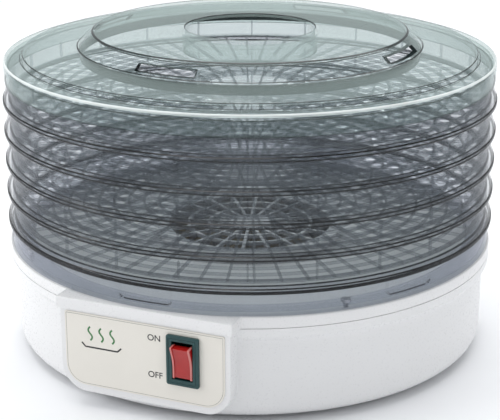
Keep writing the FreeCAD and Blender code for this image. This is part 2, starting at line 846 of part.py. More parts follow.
def make_fan():
    """Moulded fan: hub and pitched blades."""
    hub = cylinder("fan_hub", "fan_hub_radius", "fan_hub_height", z="fan_level")
    root = Vector(SIZES["blade_root"], 1 - SIZES["blade_chord"] / 2, 0)
    blades = []
    for index, angle in enumerate(around(BLADES)):
        start = Rotation(Vector(0, 0, 1), angle).multVec(root)
        blade = box(f"fan_blade_{index}", "fan_radius - blade_root", "blade_chord", "blade_sheet",
                    f"{start.x:.4f}", f"{start.y:.4f}", "fan_level - 0.3")
        pitch = Rotation(Vector(0, 0, 1), angle) * Rotation(Vector(1, 0, 0), BLADE_PITCH)
        blade.Placement = Placement(Vector(0, 0, 0), pitch)
        blades.append(blade)
    bore = cylinder("fan_bore", "shaft_radius", THROUGH, z="20")
    return cut("fan_impeller", fuse("fan_solid", [hub] + blades), [bore])


def make_clip():
    disc = cylinder("clip_disc", "clip_radius", "clip_thickness", z="fan_level + fan_hub_height")
    bore = cylinder("clip_bore", "shaft_radius", THROUGH, z="fan_level")
    return cut("fan_clip", disc, [bore])


def mica_plate(name, angle, slot_z):
    """One plate of the mica cross: half-lapped at the middle, with a hole for each coil ring."""
    plate = box(f"{name}_sheet", "2 * heater_reach", "mica_thickness", "heater_height", "-heater_reach",
                "-mica_thickness / 2", "heater_level")
    lap = box(f"{name}_lap", "mica_thickness", "mica_lap", "heater_height / 2", "-mica_thickness / 2",
              "-mica_lap / 2", slot_z)
    holes = []
    for index, ring in enumerate(COIL_RINGS):
        for side in ("-", ""):
            hole = f"{name}_hole_{index}{side and '_left'}"
            holes.append(cylinder(hole, "coil_hole_radius", "6", f"{side}({ring})", "3",
                                  "heater_level + heater_height / 2", axis=(1, 0, 0), angle=90))
    plain = cut(f"{name}_plain", plate, [lap] + holes)
    turned = doc.addObject("Part::Compound", name)
    turned.Links = [plain]
    turned.Placement = Placement(Vector(0, 0, 0), Rotation(Vector(0, 0, 1), angle))
    return turned


def make_heater():
    """Mica cross with the resistance coil threaded through it in two rings."""
    lower = mica_plate("mica_across", 0, "heater_level + heater_height / 2")
    upper = mica_plate("mica_along", 90, "heater_level")
    group("heater_frame", [lower, upper])
    level = "heater_level + heater_height / 2"
    rings = [torus(f"coil_ring_{ring}", ring, "coil_radius", level) for ring in COIL_RINGS]
    group("heater_coil", rings)


def make_heater_tabs():
    """Four steel tabs that hold the ends of the mica cross to the duct."""
    tabs = []
    for index, angle in enumerate(around(4)):
        x, y = on_circle("heater_reach", angle)
        tab = box(f"heater_tab_{index}", "heater_tab_thickness", "heater_tab_width", "heater_tab_height",
                  x, y, "heater_level + 4", angle=angle)
        aside = Vector(0, -SIZES["heater_tab_width"] / 2, 0)
        shift = Rotation(Vector(0, 0, 1), angle).multVec(aside)
        bind(tab, {".Placement.Base.x": f"{x} + {shift.x:.6f}", ".Placement.Base.y": f"{y} + {shift.y:.6f}"})
        tabs.append(tab)
    return group("heater_tabs", tabs)


def make_controls():
    """Thermostat and thermal fuse inside the duct wall, terminal block on the floor plate."""
    x, y = on_circle("thermostat_place", 45)
    cylinder("thermostat", "5", "8", x, y, "heater_level + 2").Label = "thermostat"
    x, y = on_circle("thermal_fuse_place", 225)
    cylinder("thermal_fuse", "2.2", "11", x, y, "heater_level + 1").Label = "thermal_fuse"
    block = box("block_body", "block_length", "block_width", "block_height", "block_x", "block_y",
                "foot_height + cover_thickness")
    holes = []
    for index in range(3):
        holes.append(cylinder(f"block_hole_{index}", "2.4", "block_height",
                              f"block_x + block_length / 2 + block_pitch * {index - 1}",
                              "block_y + block_width / 2", "foot_height + cover_thickness + 7"))
    cut("terminal_block", block, holes)


def make_machinery():
    make_duct()
    make_bracket()
    make_stator()
    make_coil()
    bearing_bridge("lower_bearing_bridge", "stack_bottom - 1.5", "stack_bottom - 7")
    bearing_bridge("upper_bearing_bridge", "stack_bottom + stack_height", "stack_bottom + stack_height + 0.5")
    bearing_bush("lower_bush", "stack_bottom - 7")
    bearing_bush("upper_bush", "stack_bottom + stack_height + 0.8")
    places = [("-motor_screw_x", "0"), ("motor_screw_x", "0")]
    screws("motor_screws", "3.6", "2", "2", "stack_height + 6", places, "stack_bottom - 1.5")
    make_rotor()
    cylinder("motor_shaft", "shaft_radius", "fan_level + 1.2", z="10").Label = "motor_shaft"
    make_fan()
    make_clip()
    make_heater()
    make_heater_tabs()
    make_controls()
    duct_places = [on_circle("duct_screw_radius", angle) for angle in around(DUCT_SCREWS, 90)]
    screws("duct_screws", "3", "1.8", "1.3", "2.8", duct_places, "parting_height - 0.1 - duct_wall")
    ring_places = [on_circle("ring_screw_radius", angle) for angle in around(RING_SCREWS, 45)]
    screws("ring_screws", "3.2", "1.6", "1.6", "6.4", ring_places,
           "deck_height + housing_gap + tray_wall", up=False)
    screws("cover_screws", "3", "1.4", "1.55", "7", SCREW_RING, "foot_height")


# ---------------------------------------------------------------- trays

def tray_level(number):
    """Height of a tray's seat; tray 1 is the top one."""
    return f"tray_seat + tray_pitch * {TRAY_COUNT - number}"


def make_tray(number):
    """Wall of one clear tray: it flares out over the neck below and has a ledge that holds the grid.

    Its outline is written from its own seat at height 0, and it is lifted to its place in the stack.
    """
    body = new_body(f"tray_{number}")
    outline = [
        ("tray_radius - tray_wall", "0"),
        ("tray_radius", "0"),
        ("tray_radius", "flare_bottom"),
        ("flare_radius", "flare_top"),
        ("waist_radius", "waist_height"),
        ("tray_neck", "tray_height"),
        ("tray_neck - tray_wall", "tray_height"),
        ("waist_radius - tray_wall", "waist_height"),
        ("flare_radius - 1.35 * tray_wall", "grid_level + ledge_thickness"),
        ("ledge_radius", "grid_level + ledge_thickness"),
        ("ledge_radius", "grid_level"),
        ("tray_radius - tray_wall", "grid_level"),
    ]
    revolve(body, "shell", [outline])
    place(body, z=tray_level(number))
    return body


def make_grid(number):
    """Flat grid floor of one tray: a hub ring, rings and spokes, with a thin rim on the tray's ledge."""
    body = new_body(f"tray_{number}_grid")
    under = "grid_level"
    top = "grid_level + grid_thickness"
    rings = [[("hub_radius", under), ("hub_radius + hub_wall", under),
              ("hub_radius + hub_wall", "hub_top"), ("hub_radius", "hub_top")]]
    for index in range(1, GRID_RINGS):
        middle = f"hub_radius + (ledge_radius - hub_radius) * {index} / {GRID_RINGS}"
        rings.append([(f"{middle} - spoke_width / 2", under), (f"{middle} + spoke_width / 2", under),
                      (f"{middle} + spoke_width / 2", top), (f"{middle} - spoke_width / 2", top)])
    rings.append([
        ("ledge_radius - grid_gap - spoke_width", under),
        ("ledge_radius - grid_gap", under),
        ("ledge_radius - grid_gap", "grid_level + ledge_thickness"),
        ("grid_radius", "grid_level + ledge_thickness"),
        ("grid_radius", top),
        ("ledge_radius - grid_gap - spoke_width", top),
    ])
    revolve(body, "rings", rings)
    sketch = new_sketch(body, "spoke_sketch", "XY_Plane", under)
    draw_box(sketch, "hub_radius + hub_wall / 2", "ledge_radius - grid_gap - spoke_width / 2",
             "-spoke_width / 2", "spoke_width / 2")
    spoke = pad(body, "spoke", sketch, "grid_thickness")
    polar(body, "spokes", [spoke], SPOKE_COUNT)
    place(body, z=tray_level(number))
    return body


# ---------------------------------------------------------------- lid

def make_lid():
    """Clear lid: deep skirt, flat rim, step, shallow slope, coned plateau and a round vent collar."""
    body = new_body("lid")
    outer = [
        ("lid_radius - 0.6", "lid_skirt_bottom"),
        ("lid_radius", "lid_rim_height"),
        ("lid_step_radius", "lid_rim_height"),
        ("lid_step_radius - 1.6", "lid_step_height"),
        ("plateau_foot_radius", "plateau_foot_height"),
        ("plateau_radius", "plateau_height"),
        ("vent_radius + 2", "plateau_height + 0.8"),
        ("vent_radius", "plateau_height + 0.8"),
        ("vent_radius", "plateau_height - vent_depth"),
        ("vent_radius + 1.6", "plateau_height - vent_depth"),
        ("vent_radius + 2", "plateau_height - lid_wall"),
        ("plateau_radius - 1.4", "plateau_height - lid_wall"),
        ("plateau_foot_radius - 1.4", "plateau_foot_height - lid_wall"),
        ("lid_step_radius - 3.3", "lid_step_height - lid_wall"),
        ("lid_step_radius - 1.7", "lid_rim_height - lid_wall"),
        ("lid_radius - 2", "lid_rim_height - lid_wall"),
        ("lid_radius - 1.9", "lid_skirt_bottom"),
    ]
    revolve(body, "shell", [outer])
    round_rings(body, "1.5", [("lid_radius", "lid_rim_height")])
    rib = [
        ("plateau_foot_radius - baffle_inner_drop", "plateau_foot_height - baffle_depth"),
        ("plateau_foot_radius - baffle_outer_drop", "plateau_foot_height - baffle_depth"),
        ("plateau_foot_radius - baffle_outer_drop", "plateau_foot_height - 1"),
        ("plateau_foot_radius - baffle_inner_drop", "plateau_foot_height - 1"),
    ]
    revolve(body, "baffle_rib", [rib])
    slot = new_sketch(body, "slot_sketch", "XZ_Plane", "plateau_radius")
    draw_box(slot, "-slot_width / 2", "slot_width / 2", "plateau_foot_height + slot_lift",
             "plateau_foot_height + slot_lift + slot_height")
    notch = pocket(body, "slot", slot, "12")
    slots = polar(body, "slots", [notch], LID_SLOTS)
    if slots.Shape.Volume >= notch.Shape.Volume:
        raise RuntimeError("lid: the slots were not repeated")
    body.Placement = Placement(Vector(0, 0, 0), Rotation(Vector(0, 0, 1), LID_TURN))
    return body


# ---------------------------------------------------------------- build and write

NODES = [
    "base_housing", "top_deck", "outlet_grille", "base_ring", "ring_screws", "control_label", "switch_body",
    "switch_terminals", "switch_rocker", "bottom_cover", "cover_screws", "foot_pads", "cord_inlet_bush",
    "air_duct", "duct_screws", "motor_bracket", "motor_stator", "motor_coil", "lower_bearing_bridge",
    "upper_bearing_bridge", "lower_bush", "upper_bush", "motor_screws", "motor_rotor", "motor_shaft",
    "fan_impeller", "fan_clip", "heater_frame", "heater_coil", "heater_tabs", "thermostat", "thermal_fuse",
    "terminal_block", "lid",
] + [f"tray_{number}{part}" for number in range(1, TRAY_COUNT + 1) for part in ("", "_grid")]


def check_and_write():
    doc.recompute()
    for thing in doc.Objects:
        if {"Invalid", "Error"} & set(thing.State):
            raise RuntimeError(f"{thing.Name} failed: {thing.State}")
    os.makedirs("parts", exist_ok=True)
    for name in NODES:
        shape = doc.getObjectsByLabel(name)[0].Shape
        if shape.isNull() or not shape.isValid() or not shape.Solids:
            raise RuntimeError(f"{name} has no valid solid")
        shape.exportStep(f"parts/{name}.step")


make_housing()
make_deck()
make_grille()
make_ring()
make_label()
make_floor_plate()
make_feet()
make_inlet_bush()
make_switch_body()
make_rocker()
make_terminals()
make_machinery()
for tray_number in range(1, TRAY_COUNT + 1):
    make_tray(tray_number)
    make_grid(tray_number)
make_lid()
check_and_write()
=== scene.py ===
"""A round food dehydrator: white base, five smoky clear trays and a clear lid, built around its frame."""

import math

import bmesh
import bpy
import numpy as np
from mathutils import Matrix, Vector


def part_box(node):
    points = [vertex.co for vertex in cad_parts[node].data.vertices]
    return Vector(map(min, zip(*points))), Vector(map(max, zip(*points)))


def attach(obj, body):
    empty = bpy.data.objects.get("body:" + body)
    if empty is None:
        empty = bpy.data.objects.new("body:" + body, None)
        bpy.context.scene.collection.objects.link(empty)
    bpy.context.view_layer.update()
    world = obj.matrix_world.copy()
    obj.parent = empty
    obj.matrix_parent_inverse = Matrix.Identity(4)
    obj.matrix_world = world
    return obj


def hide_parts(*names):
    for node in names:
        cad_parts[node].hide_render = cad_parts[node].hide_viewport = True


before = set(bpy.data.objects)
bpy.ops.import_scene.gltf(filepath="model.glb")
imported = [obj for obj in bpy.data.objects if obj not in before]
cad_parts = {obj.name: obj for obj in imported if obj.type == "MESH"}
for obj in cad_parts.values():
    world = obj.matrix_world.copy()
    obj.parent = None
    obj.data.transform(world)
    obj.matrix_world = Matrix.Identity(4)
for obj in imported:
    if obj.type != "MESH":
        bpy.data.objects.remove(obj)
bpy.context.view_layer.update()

bl_info = {
    "name": "Food Dehydrator",
    "version": (1, 0, 0),
    "blender": (4, 5, 0),
    "location": "View3D > Sidebar > Dehydrator",
    "description": "Builds the visible shells, trays and finishes of a round food dehydrator",
    "category": "Object",
}

MM = 0.001
TRAYS = ("tray_1", "tray_2", "tray_3", "tray_4", "tray_5")

# Heights and radii in millimetres that the frame's boxes don't give
PARTING = 64.8          # where the bowl and its cap meet
THROAT = 58.5           # radius of the hot-air outlet
BODY_RADIUS = 159.0     # round wall of the bowl
NECK_RADIUS = 160.0     # upper rims that the trays sit on
LEDGE = 4.0             # underside of a tray's floor above its seat
ROCKER_PIVOT = 162.2    # plane of the rocker's pins, in front of the axis
ROCKER_TILT = 11.0      # degrees, in the off position
LID_TURN = 5.0          # degrees that the lid's slots are turned by


def linear(code):
    """An sRGB hex code as a linear colour with full alpha."""
    channel = np.array([int(code[at:at + 2], 16) / 255 for at in (1, 3, 5)])
    light = np.where(channel <= 0.04045, channel / 12.92, ((channel + 0.055) / 1.055) ** 2.4)
    return (*light.tolist(), 1.0)


def node_box(node):
    """A CAD node's lowest and highest corners in millimetres."""
    low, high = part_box(node)
    return np.array(low) / MM, np.array(high) / MM


# ---------------------------------------------------------------- outlines and surfaces

def rounded(corners, radii, steps=5, closed=True):
    """An outline whose corners are circular arcs, as an array of points; an open one keeps its two ends.

    Each corner is a rational quadratic curve from one tangent point to the next, with the corner
    itself as control point and the sine of half the corner's angle as its weight, which is exactly
    a circle's arc. The tangent points lie radius / tan(half angle) from the corner.
    """
    corner = np.asarray(corners, float)
    radius = np.broadcast_to(np.asarray(radii, float), len(corner))
    back = np.roll(corner, 1, axis=0) - corner
    ahead = np.roll(corner, -1, axis=0) - corner
    back /= np.linalg.norm(back, axis=1)[:, None]
    ahead /= np.linalg.norm(ahead, axis=1)[:, None]
    half = 0.5 * np.arccos(np.clip((back * ahead).sum(1), -1, 1))
    reach = (radius / np.tan(half))[:, None]
    start, end = corner + back * reach, corner + ahead * reach
    t = np.linspace(0, 1, steps)[None, :, None]
    weight = np.sin(half)[:, None, None]
    parts = ((1 - t) ** 2, 2 * t * (1 - t) * weight, t ** 2)
    arcs = (parts[0] * start[:, None] + parts[1] * corner[:, None] + parts[2] * end[:, None]) / sum(parts)
    if closed:
        return arcs.reshape(-1, 2)
    return np.vstack([corner[:1], arcs[1:-1].reshape(-1, 2), corner[-1:]])


def finer(outline, longest):
    """The same closed outline with points added so that no side is longer than the given length."""
    after = np.roll(outline, -1, axis=0)
    count = np.maximum(1, np.ceil(np.linalg.norm(after - outline, axis=1) / longest)).astype(int)
    index = np.repeat(np.arange(len(outline)), count)
    share = (np.arange(count.sum()) - np.repeat(np.cumsum(count) - count, count)) / count[index]
    return outline[index] + (after - outline)[index] * share[:, None]


def wrapped_quads(rows, columns, close_rows=True):
    """Faces of a grid of rows x columns that closes on itself along its columns, and along its rows."""
    last = rows if close_rows else rows - 1
    row, column = np.meshgrid(np.arange(last), np.arange(columns), indexing="ij")
    below, beside = (row + 1) % rows, (column + 1) % columns
    corners = (row * columns + column, below * columns + column,
               below * columns + beside, row * columns + beside)
    return np.stack(corners, -1).reshape(-1, 4)


def patch_volume(points, faces):
    """Six times the signed volume under a closed patch, summed over each face's fan of triangles."""
    total = 0.0
    for index in range(1, faces.shape[1] - 1):
        a, b, c = points[faces[:, 0]], points[faces[:, index]], points[faces[:, index + 1]]
        total += np.einsum("ij,ij->", a, np.cross(b, c))
    return total


def outward(points, faces):
    """The patch with its faces turned to point out of the closed shape."""
    return (points, faces if patch_volume(points, faces) > 0 else faces[:, ::-1])


def full_turn(count):
    """Evenly spaced angles round a whole turn, in radians."""
    return np.linspace(0, 2 * np.pi, count, endpoint=False)


def inset(outline, distance):
    """A closed outline moved inwards by a distance, square to its two sides at each point."""
    side = np.roll(outline, -1, axis=0) - outline
    side /= np.maximum(np.linalg.norm(side, axis=1), 1e-9)[:, None]
    normal = np.stack([-side[:, 1], side[:, 0]], -1)
    before = np.roll(normal, 1, axis=0)
    turn = np.sum(outline[:, 0] * np.roll(outline[:, 1], -1) - np.roll(outline[:, 0], -1) * outline[:, 1])
    both = (normal + before) / (1 + np.sum(normal * before, axis=1))[:, None]
    return outline + both * (distance * np.sign(turn))


def box_outline(low, high, radius, steps=5):
    """An upright rectangle from its lowest to its highest corner, with rounded corners."""
    corners = [(low[0], low[1]), (high[0], low[1]), (high[0], high[1]), (low[0], high[1])]
    return rounded(corners, radius, steps)


def loop(outline, height):
    """A flat outline lifted to a height."""
    return np.column_stack([outline, np.full(len(outline), float(height))])


def lofted(loops, capped=True, finishes=None):
    """A skin over loops of equal length, each joined to the next by quads.

    Capped ends get a fan of triangles from the mean of their loop. Without caps the last loop joins
    the first. finishes gives each band between two loops its finish.
    """
    rows, columns = len(loops), len(loops[0])
    bands = rows - 1 if capped else rows
    chosen = np.repeat(np.zeros(bands, int) if finishes is None else np.asarray(finishes), columns)
    patches = [(np.vstack(loops), wrapped_quads(rows, columns, close_rows=not capped), chosen)]
    if capped:
        index = np.arange(columns)
        fan = np.column_stack([np.full(columns, columns), index, (index + 1) % columns])
        for end, faces in ((loops[0], fan), (loops[-1], fan[:, ::-1])):
            patches.append((np.vstack([end, end.mean(0)]), faces, 0))
    return patches


def soft_edge(bottom, top, radius, steps=4):
    """(inset, height) pairs of an upright side whose two rims are rounded by quarter circles."""
    turn = np.linspace(0, np.pi / 2, steps)
    low = np.column_stack([radius * (1 - np.sin(turn)), bottom + radius * (1 - np.cos(turn))])
    return np.vstack([low, np.column_stack([low[::-1, 0], bottom + top - low[::-1, 1]])])


def prism(outline, stations, finishes=None):
    """A solid with a given plan: the outline inset by each station's first number at its second."""
    return lofted([loop(inset(outline, gap), height) for gap, height in stations], finishes=finishes)


def aimed(patches, across, up, out, origin=(0, 0, 0)):
    """Patches moved from (u, v, w) to the object's frame: u along across, v along up, w along out."""
    axes = np.array([across, up, out], float)
    return [(patch[0] @ axes + np.array(origin), *patch[1:]) for patch in patches]


def on_front(patches, plane):
    """Patches drawn upright as (x, z, distance in front), stood on a plane that faces the front."""
    return aimed(patches, (1, 0, 0), (0, 0, 1), (0, -1, 0), (0, -plane, 0))


def smooth_step(low, high, value):
    """0 below low, 1 above high, and 3t^2 - 2t^3 between them."""
    t = np.clip((value - low) / (high - low), 0, 1)
    return t * t * (3 - 2 * t)


def smooth_least(a, b, blend):
    """The smaller of two fields, with a parabola over the stretch where they are within a blend."""
    gap = np.clip(blend - np.abs(a - b), 0, None)
    return np.minimum(a, b) - gap ** 2 / (4 * blend)


def azimuths(step, dense=(), fine=0.15):
    """Angles round the axis in radians: every step degrees, and every fine degrees in each dense span."""
    spans = [np.arange(low, high, fine) for low, high in dense]
    angle = np.unique(np.round(np.concatenate([np.arange(-180, 180, step), *spans]), 4))
    keep = np.concatenate([[True], np.diff(angle) > fine / 3])
    return np.radians(angle[keep])


def polar_grid(radius, azimuth, height):
    """Points at a distance from the axis, at an azimuth from the front (-Y) towards +X, and a height."""
    return np.stack(np.broadcast_arrays(radius * np.sin(azimuth), -radius * np.cos(azimuth), height), -1)


def wrapped(grid, finish=0):
    """A closed skin over a grid (rows, columns, 3) that meets itself along both of its directions."""
    rows, columns = grid.shape[:2]
    points, faces = outward(grid.reshape(-1, 3), wrapped_quads(rows, columns))
    return points, faces, np.broadcast_to(finish, (rows, columns)).reshape(-1)


def turned(outline, columns=240, finish=None):
    """A closed outline of (radius, height) turned about the upright axis: (r sin a, -r cos a, z)."""
    grid = polar_grid(outline[:, 0:1], full_turn(columns)[None, :], outline[:, 1:2])
    return wrapped(grid, 0 if finish is None else finish[:, None])


def pierced_shell(outer, inner, holes, finish=0):
    """A closed wall between two skins, each a grid (rows, columns, 3) that meets itself round the axis.

    Where a cell of holes is true, both skins are open. Every edge that then belongs to one quad only,
    round the holes and along the first and last rows, carries a quad from one skin to the other.
    """
    rows, columns = outer.shape[:2]
    count = rows * columns
    row, column = np.nonzero(~holes)
    beside = (column + 1) % columns
    skin = np.column_stack([row * columns + column, row * columns + beside,
                            (row + 1) * columns + beside, (row + 1) * columns + column])
    edges = np.stack([skin, np.roll(skin, -1, axis=1)], -1).reshape(-1, 2)
    key = edges.min(axis=1) * count + edges.max(axis=1)
    found, times = np.unique(key, return_counts=True)
    start, end = edges[np.isin(key, found[times == 1])].T
    walls = np.column_stack([end, start, start + count, end + count])
    shade = np.broadcast_to(finish, holes.shape)[row, column]
    points, faces = outward(np.vstack([outer.reshape(-1, 3), inner.reshape(-1, 3)]),
                            np.vstack([skin, skin[:, ::-1] + count, walls]))
    # The walls round the holes and along the first and last rows take finish 1 wherever any face has a
    # finish: in the lid that is the dark rim finish, painted shade.
    return points, faces, np.concatenate([shade, shade, np.full(len(walls), min(shade.max(initial=0), 1))])


def new_piece(name, patches, body, finishes, nodes=(), sharp=35):
    """A mesh object of patches in millimetres: merged, facing outwards, shaded by angle, riding on a body.

    A patch is its points, its faces and the number of the finish on them, one or one for each face.
    """
    points, faces, shades, count = [], [], [], 0
    for patch_points, patch_faces, shade in patches:
        points.append(patch_points)
        faces.extend((patch_faces + count).tolist())
        shades.append(np.broadcast_to(shade, len(patch_faces)))
        count += len(patch_points)
    mesh = bpy.data.meshes.new(name)
    mesh.from_pydata((np.vstack(points) * MM).tolist(), [], faces)
    mesh.polygons.foreach_set("material_index", np.concatenate(shades).astype(np.int32))
    merge_doubles(mesh)
    mesh.polygons.foreach_set("use_smooth", np.ones(len(mesh.polygons), bool))
    mesh.set_sharp_from_angle(angle=math.radians(sharp))
    for finish in finishes:
        mesh.materials.append(finish)
    mesh.update()
    piece = bpy.data.objects.new(name, mesh)
    bpy.context.scene.collection.objects.link(piece)
    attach(piece, body)
    if nodes:
        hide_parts(*nodes)
    return piece


def merge_doubles(mesh):
    """Merge points that coincide, drop faces with no area and turn every face outwards."""
    work = bmesh.new()
    work.from_mesh(mesh)
    bmesh.ops.remove_doubles(work, verts=work.verts, dist=2e-6)
    bmesh.ops.dissolve_degenerate(work, edges=work.edges, dist=1e-7)
    bmesh.ops.recalc_face_normals(work, faces=work.faces)
    work.to_mesh(mesh)
    work.free()


# ---------------------------------------------------------------- finishes

def add_node(tree, kind, inputs=None, **settings):
    """Add a node: settings are its own properties, inputs its sockets, each a value or a link's start."""
    node = tree.nodes.new(kind)
    for name, value in settings.items():
        setattr(node, name, value)
    for name, value in (inputs or {}).items():
        if isinstance(value, bpy.types.NodeSocket):
            tree.links.new(value, node.inputs[name])
        else:
            node.inputs[name].default_value = value
    return node


def blank(name):
    """An empty node material."""
    material = bpy.data.materials.new(name)
    material.use_nodes = True
    material.node_tree.nodes.clear()
    return material, material.node_tree


def darker(colour, share):
    """A colour with each channel at a share of its own value."""
    return (*(channel * share for channel in colour[:3]), 1.0)


def skin_shader(tree, colour, drift, drift_mm, roughness, grain_mm, depth_mm, **shader):
    """A Principled surface whose colour drifts over drift_mm and whose skin has a grain of grain_mm.

    drift is the darkest share of the colour, roughness a pair that the grain moves between and
    depth_mm the height of the grain.
    """
    place = add_node(tree, "ShaderNodeTexCoord").outputs["Object"]
    cloud = add_node(tree, "ShaderNodeTexNoise", {
        "Vector": place, "Scale": 1 / (drift_mm * MM), "Detail": 3.0})
    tone = add_node(tree, "ShaderNodeMix", {
        "Factor": cloud.outputs["Fac"], 6: darker(colour, drift), 7: colour}, data_type="RGBA")
    grain = add_node(tree, "ShaderNodeTexNoise", {
        "Vector": place, "Scale": 1 / (grain_mm * MM), "Detail": 2.0})
    rough = add_node(tree, "ShaderNodeMapRange", {"Value": grain.outputs["Fac"], "From Min": 0.3,
                     "From Max": 0.7, "To Min": roughness[0], "To Max": roughness[1]})
    bump = add_node(tree, "ShaderNodeBump", {"Height": grain.outputs["Fac"], "Distance": depth_mm * MM})
    return add_node(tree, "ShaderNodeBsdfPrincipled", {
        "Base Color": tone.outputs[2], "Roughness": rough.outputs["Result"], "Normal": bump.outputs["Normal"],
        **shader})


def solid_finish(name, *look, **shader):
    """A material that is one skin shader, its look given as skin_shader takes it."""
    material, tree = blank(name)
    surface = skin_shader(tree, *look, **shader)
    add_node(tree, "ShaderNodeOutputMaterial", {"Surface": surface.outputs[0]})
    return material


def clear_finish(name, tint, film, face_on, grazing, roughness, streak_mm):
    """A clear moulding: a tinted see-through skin under a glossy film that thickens at grazing angles.

    The flow of the melt leaves faint streaks of streak_mm in the film.
    """
    material, tree = blank(name)
    gloss = skin_shader(tree, film, 0.9, streak_mm, roughness, 6.0, 0.001, **{"IOR": 1.58})
    through = add_node(tree, "ShaderNodeBsdfTransparent", {"Color": tint})
    slant = add_node(tree, "ShaderNodeLayerWeight", {"Blend": 0.5}).outputs["Facing"]
    steep = add_node(tree, "ShaderNodeMath", {0: slant, 1: 3.0}, operation="POWER").outputs[0]
    share = add_node(tree, "ShaderNodeMapRange", {"Value": steep, "To Min": face_on, "To Max": grazing})
    mixed = add_node(tree, "ShaderNodeMixShader", {
        "Fac": share.outputs["Result"], 1: through.outputs[0], 2: gloss.outputs[0]})
    add_node(tree, "ShaderNodeOutputMaterial", {"Surface": mixed.outputs[0]})
    return material


def white_abs(colours):
    """Injection moulded ABS, polished tool: bright, soft gloss, the faintest orange peel."""
    return solid_finish("white_abs", colours.white, 0.97, 60.0, (0.26, 0.34), 1.2, 0.012, IOR=1.54)


def smoky_styrene(colours):
    """Smoked transparent polystyrene: grey see-through walls with a hard gloss."""
    return clear_finish("smoky_styrene", colours.smoke, colours.smoke_film, 0.05, 0.6, (0.05, 0.12), 30.0)


def smoky_ring_painted_light(colours):
    """The thin ring in the same smoked polystyrene, painted paler than the trays: painted light for the white
    deck shining through it.
    """
    return clear_finish("smoky_ring_painted_light", colours.ring, colours.ring_film_painted_light, 0.1, 0.6, (0.05, 0.12), 30.0)


def smoky_rim_painted_shade(colours):
    """Painted shade on the cut-off rims of the smoked mouldings: near black, standing in for the light that
    the rims trap.
    """
    return clear_finish("smoky_rim_painted_shade", colours.smoke_rim, colours.smoke_rim, 0.75, 0.95, (0.08, 0.16), 12.0)


def clear_styrene(colours):
    """Clear polystyrene with a trace of green: the lid's thin walls."""
    return clear_finish("clear_styrene", colours.lid, colours.lid_film, 0.05, 0.6, (0.04, 0.09), 40.0)


def clear_rim_painted_shade(colours):
    """Painted shade on the rims and risers of the clear moulding: dark green-grey, standing in for trapped
    light.
    """
    return clear_finish("clear_rim_painted_shade", colours.lid_rim, colours.lid_rim, 0.6, 0.92, (0.06, 0.12), 15.0)


def lid_painted_highlight(colours):
    """Painted highlight on the lid's rounded outer edge: an almost white film where light would catch the
    edge.
    """
    return clear_finish("lid_painted_highlight", colours.lid, colours.lid_highlight_paint, 0.7, 0.9, (0.1, 0.2), 15.0)


def printed_film(colours):
    """Matt polyester label, screen printed in warm cream, with a fine satin tooth."""
    return solid_finish("printed_film", colours.cream, 0.95, 25.0, (0.36, 0.46), 0.5, 0.006, IOR=1.55)


def label_line(colours):
    """The printed grey line near the label's edge."""
    return solid_finish("label_line", colours.line, 0.9, 10.0, (0.4, 0.5), 0.5, 0.004)


def dark_ink(colours):
    """Charcoal screen-printing ink, slightly raised and dull."""
    return solid_finish("dark_ink", colours.ink, 0.85, 4.0, (0.45, 0.6), 0.4, 0.004)


def green_ink(colours):
    """Green screen-printing ink."""
    return solid_finish("green_ink", colours.green_ink, 0.85, 4.0, (0.45, 0.6), 0.4, 0.004)


def green_nylon(colours):
    """Glass-filled nylon in dark teal: satin, with a fine spark-eroded grain."""
    return solid_finish("green_nylon", colours.teal, 0.8, 8.0, (0.28, 0.42), 0.5, 0.015, IOR=1.53)


def red_polycarbonate(colours):
    """Translucent red polycarbonate: light enters and glows under a hard gloss."""
    return solid_finish("red_polycarbonate", colours.red, 0.75, 6.0, (0.12, 0.22), 1.0, 0.006,
                        **{"IOR": 1.58, "Subsurface Weight": 0.25, "Subsurface Scale": 0.003})


def pale_rim_highlight(colours):
    """The rocker's clear raised rims: a pale pink over the red, partly the clear plastic and partly painted
    highlight.
    """
    return solid_finish("pale_rim_highlight", colours.rocker_edge_highlight, 0.7, 5.0, (0.05, 0.12), 1.0, 0.004,
                        **{"IOR": 1.58})


# ---------------------------------------------------------------- base

def boss_field(across, height, half_width, bottom, corner):
    """Distance inside the flat boss's outline: straight sides, open top, two round lower corners."""
    past = np.stack(np.broadcast_arrays(np.abs(across) - half_width + corner, bottom + corner - height))
    outside = np.hypot(*np.maximum(past, 0))
    return corner - outside - np.minimum(past.max(axis=0), 0)


